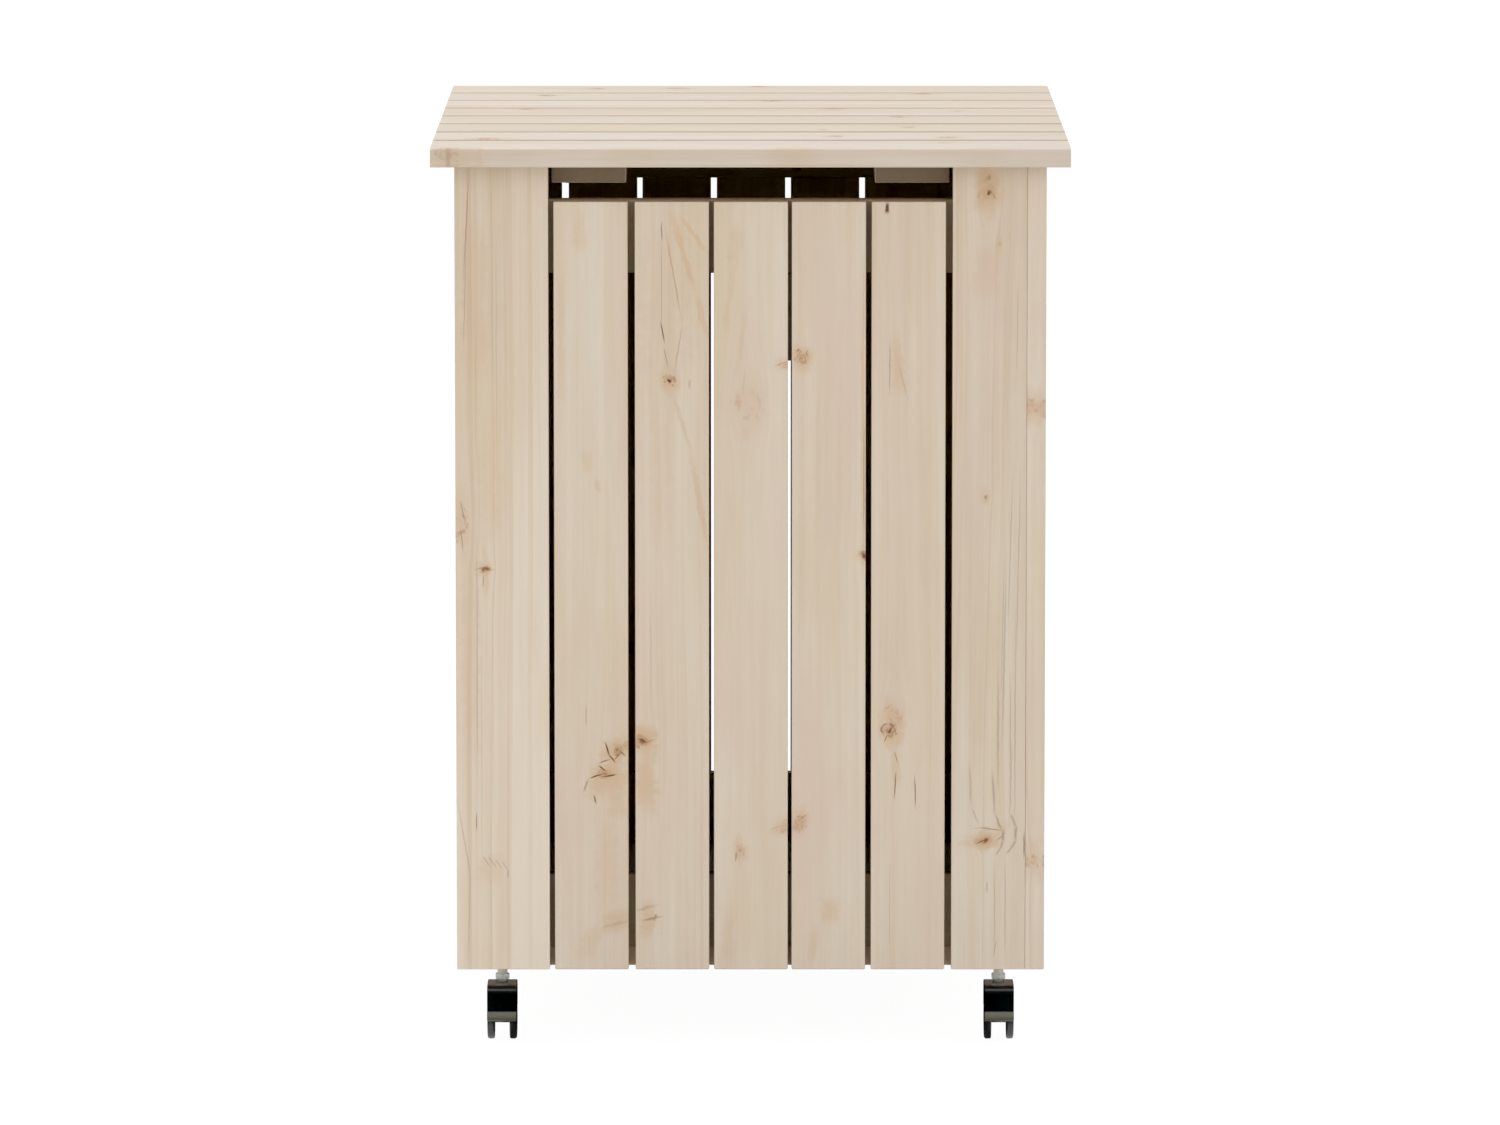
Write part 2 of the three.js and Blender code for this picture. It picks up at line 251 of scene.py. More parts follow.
def knot_group():
    """A knot at (Cu, Cl) of radius R: pushes the grain sideways and gives its masks."""
    tree, net, given, result = new_group(
        "pine_knot", "P Q Cu Cl R Inv Core Halo Long Seed", "P Core Ring Fill Halo")
    across, _, along = net.split(given["Q"])
    bent_across, bent_through, bent_along = net.split(given["P"])
    radius = given["R"]
    patch = net.vector_add(net.scale(given["Q"], given["Inv"]),
                           net.xyz(given["Seed"], 0.0, given["Seed"]))

    def wobble(size, shift):
        place = net.vector_add(net.vector_mul(patch, (size, size, size * 0.7)), shift)
        return net.sub(net.noise(place), 0.5)

    big_across, big_along = wobble(0.55, (0.0, 0.0, 0.0)), wobble(0.55, (9.0, 3.0, 1.0))
    fine_across, fine_along = wobble(2.4, (2.0, 5.0, 1.0)), wobble(2.4, (4.0, 1.0, 8.0))
    off_across = net.sub(across, given["Cu"])
    off_along = net.div(net.sub(along, given["Cl"]), given["Long"])
    # the push on the grain fades outside the radius, more slowly along the board
    far = net.squares(off_across, net.mul(off_along, 0.42))
    area = net.mul(radius, radius)
    push = net.mul(net.mul(off_across, net.div(area, net.max(far, area))), 0.92)
    net.put(result["P"], net.xyz(net.sub(bent_across, push), bent_through, bent_along))

    def ragged(offset, big, fine):
        offset = net.add(offset, net.mul(big, net.mul(radius, 1.9)))
        return net.add(offset, net.mul(fine, net.mul(radius, 0.40)))

    distance = net.sqrt(net.squares(ragged(off_across, big_across, fine_across),
                                    ragged(net.mul(off_along, 0.9), big_along, fine_along)))
    # dark, flecked core
    flecks = net.add(0.75, net.mul(fine_across, 1.6))
    core = net.smooth(net.div(distance, net.max(given["Core"], 1e-6)), 0.35, 1.2, 1.0, 0.0)
    net.put(result["Core"], net.mul(core, flecks, clamp=True))
    # broken rings at the edge and at 0.58 of the radius
    share = net.div(distance, radius)
    edge = net.smooth(net.abs(net.sub(share, 1.0)), 0.0, 0.34, 0.85, 0.0)
    edge_gaps = net.smooth(net.add(big_across, net.mul(fine_along, 0.6)), -0.04, 0.10)
    inner_gaps = net.smooth(net.add(big_along, net.mul(fine_across, 0.6)), -0.04, 0.10)
    inner = net.smooth(net.abs(net.sub(share, 0.58)), 0.0, 0.26, 0.6, 0.0)
    net.put(result["Ring"], net.max(net.mul(edge, edge_gaps), net.mul(inner, inner_gaps)))
    # brown fill
    blotches = net.add(0.72, net.mul(fine_along, 1.8))
    net.put(result["Fill"],
            net.mul(net.smooth(share, 0.45, 1.2, 1.0, 0.0), blotches, clamp=True))
    # soft halo, longer along the grain
    spread = net.add(net.mul(off_across, off_across),
                     net.mul(net.mul(off_along, off_along), 0.45))
    spread = net.add(net.div(net.sqrt(spread), given["Halo"]), net.mul(big_along, 1.1))
    net.put(result["Halo"], net.smooth(spread, 0.12, 1.0, 1.0, 0.0))
    return tree


def mark_group():
    """A short line or patch along the grain at (Cu, Cl). Its outline is blotchy at Rough 0."""
    tree, net, given, result = new_group("pine_mark", "Q Cu Cl HalfU HalfL Lean Rough", "Mark")
    across, _, along = net.split(given["Q"])
    off_along = net.sub(along, given["Cl"])
    wavy = net.sub(net.noise(net.vector_mul(given["Q"], (90.0, 90.0, 110.0))), 0.5)
    blot = net.sub(net.noise(net.vector_mul(given["Q"], (55.0, 55.0, 40.0)), 3.0), 0.5)
    off_across = net.sub(net.sub(across, given["Cu"]), net.mul(off_along, given["Lean"]))
    off_across = net.add(off_across, net.mul(wavy, net.mul(given["HalfU"], 1.6)))
    soft = net.sub(1.0, given["Rough"])

    def fade(offset, half, solid):
        share = net.add(net.div(net.abs(offset), given[half]), net.mul(blot, soft))
        return net.smooth(share, solid, 1.0, 1.0, 0.0)

    net.put(result["Mark"], net.mul(fade(off_across, "HalfU", 0.3),
                                    fade(off_along, "HalfL", 0.25)))
    return tree


FIELD, KNOT, MARK = field_group(), knot_group(), mark_group()


# ------------------------------------------------------------------ pine material
LIGHT = srgb(217, 204, 187)
DARK = srgb(199, 177, 150)
DEEP = srgb(184, 156, 124)   # the darkest rings
PINK = srgb(212, 191, 175)
STRAW = srgb(209, 190, 158)
END = srgb(172, 146, 116)    # end grain
SCAR = srgb(112, 76, 50)
STAIN = srgb(203, 172, 138)
KNOT_COLOURS = {             # painted in this order, each over the one before
    "Halo": STAIN,
    "Fill": srgb(190, 146, 108),
    "Ring": srgb(150, 108, 74),
    "Core": srgb(92, 52, 32),
}
LID_SHEEN_TINT = (1.066, 1.114, 1.186)  # painted sheen: the lid boards are made paler and less yellow than the walls, standing in for the stronger light and grazing sheen on the lid top
FLANK = 0.0445  # half the width of a lid board, where its shaded edge face begins


def strongest(net, masks):
    return reduce(net.max, masks) if masks else None


def bend_round_knots(net, place, seed, knots):
    """The place with the grain bent round every knot, and the masks of each part of the knots."""
    bent = place
    masks = {"Core": [], "Fill": [], "Ring": [], "Halo": []}
    for number, (across, along, radius, core, *strengths, stretch) in enumerate(knots):
        knot = net.group(KNOT, P=bent, Q=place, Cu=across * MM, Cl=along * MM, R=radius * MM,
                         Inv=1000.0 / radius, Core=core * MM, Halo=radius * MM * 2.4,
                         Long=stretch, Seed=(seed * 0.37 + number * 1.7) % 5)
        bent = knot["P"]
        for part, strength in zip(masks, strengths):
            masks[part].append(net.mul(knot[part], strength))
    return bent, {part: strongest(net, masks[part]) for part in masks}


def mark_mask(net, place, marks, rough):
    masks = []
    for across, along, half_width, half_length, strength, lean in marks:
        mark = net.group(MARK, Q=place, Cu=across * MM, Cl=along * MM, HalfU=half_width * MM,
                         HalfL=half_length * MM, Lean=lean, Rough=rough)
        masks.append(net.mul(mark["Mark"], strength))
    return strongest(net, masks)


def wood_colour(net, darkness, hue, pinks):
    """Clear wood, from light to dark, drifting to pink and to straw."""
    colour = net.mix(net.mul(darkness, 1.0, clamp=True), LIGHT, DARK)
    colour = net.mix(net.smooth(hue, 0.48, 0.70, 0.0, pinks), colour, PINK)
    colour = net.mix(net.smooth(hue, 0.46, 0.28, 0.0, 0.38), colour, STRAW)
    return net.mix(net.smooth(darkness, 0.85, 1.25, 0.0, 0.45), colour, DEEP)


def pine(name, *, seed, heart, slope, spacing, wobble, rings, streaks, tones, bias,
         shade=1.0, pinks=0.5, knots=(), marks=(), stains=(), strips=(), climb=(0.10, -0.02),
         length=0.7, pale=None, flank=None, shine=0.32, ends=1.0):
    """One board's wood.

    heart is the centre of the rings (across, through) in m; slope, spacing and wobble shape the
    rings. rings, streaks, tones and pinks are strengths. bias darkens the grain, shade scales
    the brightness. climb is the (bias, shade) gained over the length in m: the bias is wood
    tone, the shade is painted light, darker towards the far end. strips are (edge mm, shade,
    bias) from an edge on. pale multiplies the colour, a painted sheen on the lid boards. flank
    is (painted shade, both edges) for the edge faces between lid boards, ends the brightness of
    the end grain, painted shade on the rails and battens. The columns of knots, marks and
    stains are at WOOD.
    """
    material, net = new_material(name)
    place = net.attribute("grain", "Vector")
    end = net.attribute("endgrain", "Fac")
    bent, knot_masks = bend_round_knots(net, place, seed, knots)
    field = net.group(FIELD, P=bent, Seed=float(seed), U0=heart[0], W0=heart[1], Slope=slope,
                      Spacing=spacing, Wobble=wobble, Cross=0.0, Saddle=0.0)

    dark = net.add(0.30 + bias, net.mul(net.sub(field["Late"], 0.22), rings))
    dark = net.add(dark, net.mul(net.sub(field["Streak"], 0.5), streaks))
    dark = net.add(dark, net.mul(net.sub(field["Tone"], 0.5), tones))
    bright = net.add(shade * (1 - 0.028), net.mul(field["Fibre"], 0.056))
    across, _, along = net.split(place)
    rise = net.div(along, length, clamp=True)
    # climb: the bias is wood tone, the shade is painted light, darker towards the far end (the top
    # of an upright board)
    dark = net.add(dark, net.mul(rise, climb[0]))
    bright = net.add(bright, net.mul(rise, climb[1]))
    for edge, strip_shade, strip_bias in strips:
        side = net.smooth(net.sub(across, edge * MM), -0.0003, 0.0003)
        dark = net.add(dark, net.mul(side, strip_bias))
        bright = net.add(bright, net.mul(side, strip_shade))
    dark = net.max(net.min(dark, 1.25), -0.15)

    colour = wood_colour(net, dark, field["Hue"], pinks)
    stain = mark_mask(net, place, stains, rough=0.35)
    if stain is not None:
        colour = net.mix(stain, colour, STAIN)
    for part, part_colour in KNOT_COLOURS.items():
        if knot_masks[part] is not None:
            colour = net.mix(knot_masks[part], colour, part_colour)
    scar = mark_mask(net, place, marks, rough=1.0)
    if scar is not None:
        colour = net.mix(scar, colour, SCAR)
    colour = net.mix(net.mul(end, 0.70), colour, END)
    # pale multiplies in the painted sheen of the lid boards
    if pale is not None:
        colour = net.vector_mul(colour, pale)
    # painted shade in the gaps between the lid boards: their edge faces are darkened
    if flank is not None:
        flank_shade, both = flank
        for outward in (net.mul(across, -1.0), across)[:2 if both else 1]:
            bright = net.mul(bright, net.smooth(outward, FLANK - 0.0003, FLANK - 0.00005,
                                                1.0, flank_shade))
    # ends darkens the end grain further; on the rails and battens this is painted shade
    bright = net.mul(bright, net.sub(1.0, net.mul(end, 1.0 - ends)))

    # late wood stands proud; scars and knot cores are sunk
    height = net.add(net.mul(field["Fibre"], 0.35), net.mul(field["Late"], 0.5))
    if scar is not None:
        height = net.sub(height, net.mul(scar, 2.0))
    if knot_masks["Core"] is not None:
        height = net.sub(height, net.mul(knot_masks["Core"], 1.2))
    principled(net, net.scale(colour, bright), height, rough=0.64, spec=shine,
               bump=0.35, depth=0.00025)
    return material


# ------------------------------------------------------------------ pieces
def piece(name, mesh, body, material, replaced=None, weighted=False):
    part = bpy.data.objects.new(name, mesh)
    bpy.context.scene.collection.objects.link(part)
    mesh.materials.clear()
    mesh.materials.append(material)
    if weighted:
        for face in mesh.polygons:
            face.use_smooth = True
        normals = part.modifiers.new("weighted", "WEIGHTED_NORMAL")
        normals.keep_sharp = True
        normals.weight = 50
    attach(part, body)
    if replaced:
        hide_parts(replaced)


def bm_mesh(solid, name="tmp"):
    mesh = bpy.data.meshes.new(name)
    solid.to_mesh(mesh)
    solid.free()
    return mesh


def board_axes(low, high):
    """The axes through, across and along a board, from its shortest side to its longest."""
    return sorted(range(3), key=lambda axis: high[axis] - low[axis])


def write_grain(mesh, low, high):
    """Writes each point's place along the board: (across, through, along), in metres.
    Across is from the middle, through from the low face, along from the low end."""
    through, across, along = board_axes(low, high)
    middle = (low[across] + high[across]) / 2
    places = []
    for vert in mesh.vertices:
        spot = vert.co
        places += [spot[across] - middle, spot[through] - low[through], spot[along] - low[along]]
    grain = mesh.attributes.new("grain", "FLOAT_VECTOR", "POINT")
    grain.data.foreach_set("vector", places)
    end = mesh.attributes.new("endgrain", "FLOAT", "FACE")
    end.data.foreach_set("value", [1.0 if abs(face.normal[along]) > 0.75 else 0.0
                                   for face in mesh.polygons])


def block(low, high):
    solid = bmesh.new()
    bmesh.ops.create_cube(solid, size=1.0)
    for vert in solid.verts:
        vert.co = Vector([low[i] if vert.co[i] < 0 else high[i] for i in range(3)])
    return solid


def bevel(solid, edges, offset, segments, **options):
    bmesh.ops.bevel(solid, geom=edges, offset=offset, offset_type="OFFSET", segments=segments,
                    profile=0.5, affect="EDGES", **options)


def bevelled(low, high, radius, segments):
    solid = block(low, high)
    bevel(solid, solid.edges[:], radius, segments, clamp_overlap=True)
    return solid


def lid_front_board(low, high, radius, front_radius):
    """A lid board whose upper front edge is rounded more than the others."""
    solid = block(low, high)
    front = [edge for edge in solid.edges
             if all(abs(vert.co.y - low[1]) < 1e-7 for vert in edge.verts)
             and abs(edge.verts[0].co.x - edge.verts[1].co.x) > 0.1]
    top = [edge for edge in front if edge.verts[0].co.z > (low[2] + high[2]) / 2]
    bottom = [edge for edge in front if edge not in top]
    bevel(solid, top, front_radius, 6)
    bevel(solid, [edge for edge in bottom if edge.is_valid], front_radius * 0.28, 4)
    rest = [edge for edge in solid.edges
            if len(edge.link_faces) == 2 and edge.calc_face_angle(0) > math.radians(60)]
    bevel(solid, rest, radius, 2, clamp_overlap=True)
    return solid


def rng_for(name):
    return random.Random(sum((i + 1) * ord(char) for i, char in enumerate(name)) * 7919)


# Wood of the boards that are seen first. Places are from a board's middle and its low end, in mm.
# knots: across, along, radius, core radius, strengths of core, fill, ring and halo, stretch along
# stains and marks: across, along, half width, half length, strength, lean
WOOD = {
    "front_left_face": dict(
        seed=3, heart=(-0.115, -0.02), slope=0.004, spacing=0.0095, wobble=0.016, rings=0.48,
        # shade and the climb's shade are painted light: the post is brighter low down and darker
        # towards the top; the climb's bias is wood tone
        streaks=1.0, tones=0.8, bias=-0.10, shade=1.055, climb=(0.52, -0.075), length=0.764,
        strips=[(6, 0.016, -0.24)], pinks=0.2,
        knots=[(-16.7, 382.6, 4.6, 3.6, 1, 1, 0.5, 0.7, 0.7),
               (-40, 427.2, 7, 0.8, 0.1, 0.15, 0.55, 0.35, 1.9)],
        stains=[(-12, 96, 18, 20, 0.26, 0), (-15.5, 372, 4, 22, 0.45, 0),
                (-16.7, 396, 3, 14, 0.35, 0), (-24, 640, 16, 110, 0.30, 0),
                (-12, 470, 14, 80, 0.20, 0), (-30, 300, 12, 140, 0.22, 0)],
        marks=[(-25, 141.4, 0.7, 12, 0.65, 0), (-33, 705, 0.9, 62, 0.40, 0.05),
               (-34.5, 640, 0.8, 60, 0.28, 0.03), (-18, 371, 0.7, 8, 0.45, 0.05),
               (-11.5, 381, 0.9, 2, 0.7, 3), (-22, 383, 0.9, 1.6, 0.7, 3),
               (-24, 300, 0.6, 150, 0.30, 0), (-24.5, 545, 0.5, 90, 0.20, 0),
               (-5, 600, 0.6, 130, 0.18, 0), (-38, 410, 0.8, 14, 0.45, -0.12),
               (-37, 436, 0.8, 10, 0.45, -0.25), (-16, 104, 0.8, 6, 0.32, -0.7),
               (-10, 103, 0.8, 7, 0.34, -0.7), (-4, 101, 0.8, 6, 0.32, -0.7),
               (2, 99, 0.8, 6, 0.30, -0.7), (4.6, 92, 0.9, 5, 0.40, 0),
               (-36, 120, 1, 50, 0.25, -0.16), (-32, 60, 0.9, 60, 0.22, 0.03),
               (-20, 210, 0.5, 160, 0.16, 0), (-9, 230, 0.5, 120, 0.14, 0)]),
    "front_slat_1": dict(
        seed=11, heart=(0.075, -0.05), slope=0.006, spacing=0.014, wobble=0.022, rings=0.13,
        streaks=0.7, tones=1.15, bias=-0.06, pinks=0.4,
        knots=[(24.4, 210.5, 5, 1.8, 0.65, 0.6, 0.95, 0.7, 0.9),
               (14, 187, 6, 2.2, 0.55, 0.8, 0.3, 0.7, 0.5),
               (33, 214, 5, 1.2, 0.30, 0.4, 0.4, 0.5, 0.9)],
        stains=[(21, 203, 17, 22, 0.62, -0.1), (16, 182, 24, 22, 0.60, 0.3),
                (24, 160, 14, 22, 0.40, 0), (20, 46, 18, 17, 0.50, 0.6),
                (14, 90, 14, 70, 0.24, 0), (-2, 26, 14, 22, 0.30, 0.4),
                (-10, 700, 9, 26, 0.30, 0), (-3, 484, 8, 14, 0.28, 0),
                (6, 462, 4, 9, 0.34, -0.3), (-28, 600, 5, 110, 0.22, 0)],
        marks=[(14.8, 211, 1.1, 9, 1, -0.32), (19.3, 202, 1.2, 5, 0.95, -0.8),
               (10.3, 192.5, 1.5, 3.6, 0.95, -1), (16.5, 185.6, 4.2, 1.8, 1, 4),
               (4.5, 185.2, 3.2, 2.6, 0.95, 2.8), (-5.5, 176, 1.6, 8, 0.42, 0.35),
               (3.2, 163, 1.2, 5.5, 0.75, -0.2), (29.5, 207, 1.3, 4, 0.6, -0.8),
               (12, 199.5, 2.4, 2.4, 0.7, 2.6), (24, 203.5, 1.2, 3.4, 0.7, 0.9),
               (-5, 243, 0.6, 15, 0.45, 0), (24, 44, 9, 5, 0.16, 3)]),
    "front_slat_2": dict(
        seed=7, heart=(-0.075, -0.02), slope=0.004, spacing=0.013, wobble=0.016, rings=0.13,
        streaks=0.85, tones=0.9, bias=0.02, pinks=0.3,
        knots=[(-2.2, 561.8, 6, 2.7, 1, 0.45, 0.75, 0.62, 0.9),
               (-28.5, 219, 6.5, 3, 0.95, 0.85, 0.6, 0.7, 0.8)],
        stains=[(1.75, 660, 1.7, 58, 0.62, -0.18), (5.7, 591, 1.6, 32, 0.50, 0.167),
                (11.7, 679, 4.2, 48, 0.62, -0.312), (28.3, 622, 4, 30, 0.50, -0.267),
                (21, 699, 4, 22, 0.60, -0.706), (9.7, 521, 3.4, 38, 0.45, -0.296),
                (25.7, 447, 3.8, 62, 0.50, -0.17), (-24, 222, 13, 15, 0.70, 0),
                (-24, 180, 13, 44, 0.58, 0), (-23, 47, 12, 24, 0.55, 0),
                (-5, 620, 30, 120, 0.20, 0), (-10, 480, 14, 90, 0.18, 0)],
        marks=[(-8.7, 607, 1, 13, 0.80, -0.20), (-5.5, 583, 0.8, 12, 0.45, -0.2),
               (-9.4, 702, 0.9, 12, 0.55, 0), (-9.6, 650, 0.6, 60, 0.30, 0),
               (1.75, 660, 0.7, 52, 0.25, -0.18), (6, 590, 0.7, 26, 0.25, 0.16),
               (-27.7, 219, 1.8, 3, 0.95, -1.6), (-20, 219, 1.1, 2.5, 0.6, 3),
               (16.8, 558, 1.6, 6, 0.25, 0), (-19.5, 49, 6, 3, 0.45, 3.2),
               (-25, 59, 7, 4, 0.24, 2.5), (-16.5, 50, 1.6, 4, 0.50, 0.3),
               (-20, 300, 0.6, 70, 0.2, 0)]),
    "front_slat_3": dict(
        seed=23, heart=(-0.085, -0.03), slope=0.012, spacing=0.016, wobble=0.022, rings=0.10,
        streaks=0.6, tones=1.1, bias=-0.06,
        knots=[(-2, 541, 13, 0.6, 0, 0.07, 0.24, 0.20, 1),
               (-12, 541, 3.4, 1.2, 0.15, 0.42, 0.2, 0.3, 1.7),
               (32, 576, 5, 1.4, 0.35, 0.35, 0.4, 0.5, 0.6),
               (-9.8, 112.6, 4.6, 1.4, 0.35, 0.35, 0.35, 0.45, 1.4),
               (34, 137, 7, 1, 0.15, 0.3, 0.35, 0.45, 0.7)],
        stains=[(-14, 690, 9, 34, 0.28, 0.12), (-6, 510, 5, 8, 0.2, 0),
                (27, 135, 9, 8, 0.45, 0), (-22, 30, 10, 40, 0.3, 0.1),
                (-20, 640, 5, 60, 0.3, 0.12), (-8, 600, 4, 50, 0.25, 0.1)],
        marks=[(28, 577, 0.9, 3, 0.45, 2.8), (24, 136, 0.9, 3, 0.45, 3.4),
               (-14, 108, 0.7, 6, 0.55, 0.1), (-6.5, 560, 0.5, 20, 0.2, 0.1)]),
    "front_slat_4": dict(
        seed=31, heart=(0.10, -0.04), slope=-0.008, spacing=0.014, wobble=0.016, rings=0.12,
        streaks=0.7, tones=1.0, bias=-0.02, pinks=0.6,
        knots=[(-26, 583, 6, 2, 0.45, 0.5, 0.6, 0.45, 0.9),
               (34, 394.9, 4.6, 3.8, 1, 0.9, 0.7, 0.6, 0.8),
               (-28, 140, 6.5, 1.2, 0.35, 0.4, 0.5, 0.45, 0.9)],
        stains=[(-24, 581, 10, 14, 0.5, 0), (-27, 140, 8, 10, 0.45, 0.3),
                (3, 56, 13, 16, 0.38, 0), (-14, 25, 5, 22, 0.3, 0.1),
                (32, 520, 2.4, 160, 0.5, 0)],
        marks=[(33.2, 470, 0.8, 75, 0.42, 0), (33, 640, 0.6, 60, 0.22, 0),
               (-29, 590, 1.2, 3, 0.4, 0.5), (-21, 588, 1, 3, 0.35, 0.5),
               (-24, 146, 1, 4, 0.45, 1.2)]),
    "front_slat_5": dict(
        seed=41, heart=(-0.055, -0.06), slope=0.010, spacing=0.012, wobble=0.014, rings=0.20,
        streaks=0.7, tones=1.0, bias=0.0, pinks=0.3,
        knots=[(-17, 228, 6.2, 2.6, 0.75, 0.6, 0.95, 0.5, 1),
               (-14, 243, 8, 0.8, 0, 0.15, 0.45, 0.4, 1)],
        stains=[(-10, 574, 8.5, 38, 0.48, -0.06), (-13, 230, 12, 24, 0.45, 0),
                (-11, 192, 6, 26, 0.36, -0.05)],
        marks=[(-20.5, 724, 2.4, 7, 1, 0.1), (-12, 176, 0.9, 17, 0.75, 0.06),
               (7, 170, 0.8, 19, 0.7, -0.03), (-17.6, 574, 0.8, 33, 0.42, 0),
               (-5, 560, 0.7, 22, 0.25, -0.25), (-17, 229, 1.4, 4, 0.9, 0.5),
               (-21, 221, 0.8, 4, 0.7, 0.4), (-11, 203, 0.8, 8, 0.5, -0.3),
               (-17, 60, 0.6, 60, 0.2, 0)]),
    "front_right_face": dict(
        seed=53, heart=(0.085, -0.03), slope=0.012, spacing=0.0115, wobble=0.018, rings=0.46,
        streaks=1.0, tones=1.1, bias=0.05, shade=0.972, pinks=0.55,
        knots=[(-2.2, 741, 8, 2, 0.75, 0.22, 0.22, 0.85, 1.2),
               (-4.2, 123.6, 7, 3.4, 0.95, 0.8, 0.35, 0.85, 0.55),
               (-3.6, 450.9, 2.8, 1.6, 0.7, 0.45, 0.3, 0.4, 1.2),
               (9, 690, 2, 0.9, 0.35, 0.2, 0.2, 0.3, 1.2)],
        stains=[(-2.5, 744, 15, 20, 0.55, 0), (-10, 122, 20, 9, 0.42, 0),
                (10, 132, 12, 14, 0.28, 0.3), (-4, 665, 18, 34, 0.24, 0.1)],
        marks=[(-1.6, 738.5, 1.6, 3.6, 0.90, 0.3), (-1, 753, 2.2, 3, 0.40, 0),
               (4, 735, 1, 4, 0.45, -0.5), (33.8, 119.3, 0.8, 16, 0.75, 0),
               (26, 610, 0.9, 60, 0.2, 0.01), (14, 128, 1.7, 8, 0.42, 0.05),
               (12.8, 120, 1.7, 6, 0.36, 0.25), (9.8, 113.5, 1.6, 5, 0.30, 0.65),
               (23.8, 142, 1.7, 10, 0.34, -0.40), (26, 131, 1.7, 10, 0.40, 0.05),
               (23.4, 119.5, 1.7, 7, 0.36, 0.45), (20, 114, 1.7, 4, 0.30, 0.8),
               (5, 168, 1.5, 26, 0.34, -0.05), (9.5, 141, 1.5, 10, 0.38, -0.40),
               (-17, 176, 1.4, 24, 0.24, -0.03), (-13, 148, 1.4, 10, 0.24, -0.40),
               (2.5, 134.5, 6, 2, 0.50, -6), (-6, 136, 5, 1.6, 0.25, 6),
               (21, 180, 1.2, 50, 0.24, 0.02), (9, 230, 1.3, 70, 0.30, 0),
               (14.5, 300, 1.2, 120, 0.26, 0.02), (20.5, 220, 0.9, 80, 0.28, 0),
               (25, 240, 0.9, 130, 0.28, 0), (27.5, 380, 0.9, 120, 0.26, 0.02),
               (6, 60, 0.9, 60, 0.22, 0), (16, 60, 0.9, 60, 0.25, 0),
               (20, 400, 0.8, 90, 0.26, 0.03), (13, 330, 0.7, 90, 0.22, 0.02),
               (-7, 122.5, 1.3, 2.6, 0.9, 2), (12, 127, 0.9, 5, 0.5, 1.2),
               (-1, 79, 0.7, 7, 0.45, 0), (6.5, 20, 0.7, 10, 0.4, 0.2)]),
}

# Changes to the drawn wood of the front lid board and the side of the front right post
LID_FRONT_WOOD = dict(
    # partly wood tone, partly painted light: the strip lightens the top of the board and leaves its
    # front face darker and yellower, as the top is lit more
    pale=LID_SHEEN_TINT, strips=[(-43.6, 0.085, -0.40)], shade=0.89, bias=0.30, rings=0.3,
    knots=[(-43, 16.6, 6, 1, 0.10, 0.12, 0.30, 0.35, 1.3),
           (16, 482, 4, 1.2, 0.3, 0.3, 0.4, 0.35, 1)],
    marks=[(-46, 17, 9, 3.2, 0.22, 0.3)],
    stains=[(-44, 30, 12, 30, 0.32, 0), (-46, 46, 10, 5, 0.45, 0), (-43, 340, 9, 34, 0.34, 0),
            (-43, 190, 9, 40, 0.18, 0), (-43, 520, 9, 30, 0.18, 0)])
RIGHT_SIDE_WOOD = dict(
    bias=-0.06,
    knots=[(-40, 535.3, 9, 2, 0.3, 0.35, 0.45, 0.55, 0.8),
           (-39, 105, 6, 1.6, 0.35, 0.35, 0.45, 0.5, 1.2)])


def board_wood(name, low, high):
    """A board's wood: from WOOD, or drawn at random from the board's name."""
    if name in WOOD:
        return dict(WOOD[name])
    rng = rng_for(name)
    _, across, along = board_axes(low, high)
    width = (high[across] - low[across]) / MM
    length = (high[along] - low[along]) / MM

    def anywhere():
        return rng.uniform(-width / 2, width / 2), rng.uniform(30, length - 30)

    side = rng.choice((-1, 1))
    wood = dict(
        seed=rng.randint(60, 900),
        heart=(side * rng.uniform(0.0, 0.13), rng.choice((-1, 1)) * rng.uniform(0.02, 0.07)),
        slope=rng.uniform(-0.03, 0.03),
        spacing=rng.uniform(0.008, 0.014),
        wobble=rng.uniform(0.010, 0.022),
        rings=rng.uniform(0.16, 0.50),
        streaks=rng.uniform(0.6, 0.95),
        tones=rng.uniform(0.8, 1.15),
        bias=rng.uniform(-0.08, 0.12),
        pinks=rng.uniform(0.2, 0.8),
        shade=rng.uniform(0.978, 1.012),
        knots=[],
    )
    for _ in range(rng.choice((1, 2, 2, 3))):
        radius = rng.uniform(3.5, 8.0)
        wood["knots"].append((
            *anywhere(), radius, radius * rng.uniform(0.25, 0.55), rng.uniform(0.2, 0.85),
            rng.uniform(0.25, 0.6), rng.uniform(0.3, 0.75), rng.uniform(0.4, 0.65),
            rng.uniform(0.8, 1.3)))
    wood["marks"] = [
        (*anywhere(), rng.uniform(0.5, 0.9), rng.uniform(8, 30), rng.uniform(0.2, 0.5),
         rng.uniform(-0.04, 0.04))
        for _ in range(rng.choice((1, 2, 3)))]
    return wood


# ------------------------------------------------------------------ boards
# Rounding along the edges
WALL_EASE = 1.3 * MM
POST_EASE = 0.7 * MM
LID_EASE = 0.28 * MM
LID_FRONT_EASE = 3.4 * MM

POST_BOARD = 18 * MM    # thickness of the boards of a corner post
POST_GAP = 0.06 * MM    # between the two boards of a post

BOARD_PREFIXES = (
    "front_slat", "rear_slat", "left_slat", "right_slat", "lid_board", "lid_batten",
    "front_upper", "front_lower", "rear_upper", "rear_lower", "left_upper", "right_upper")
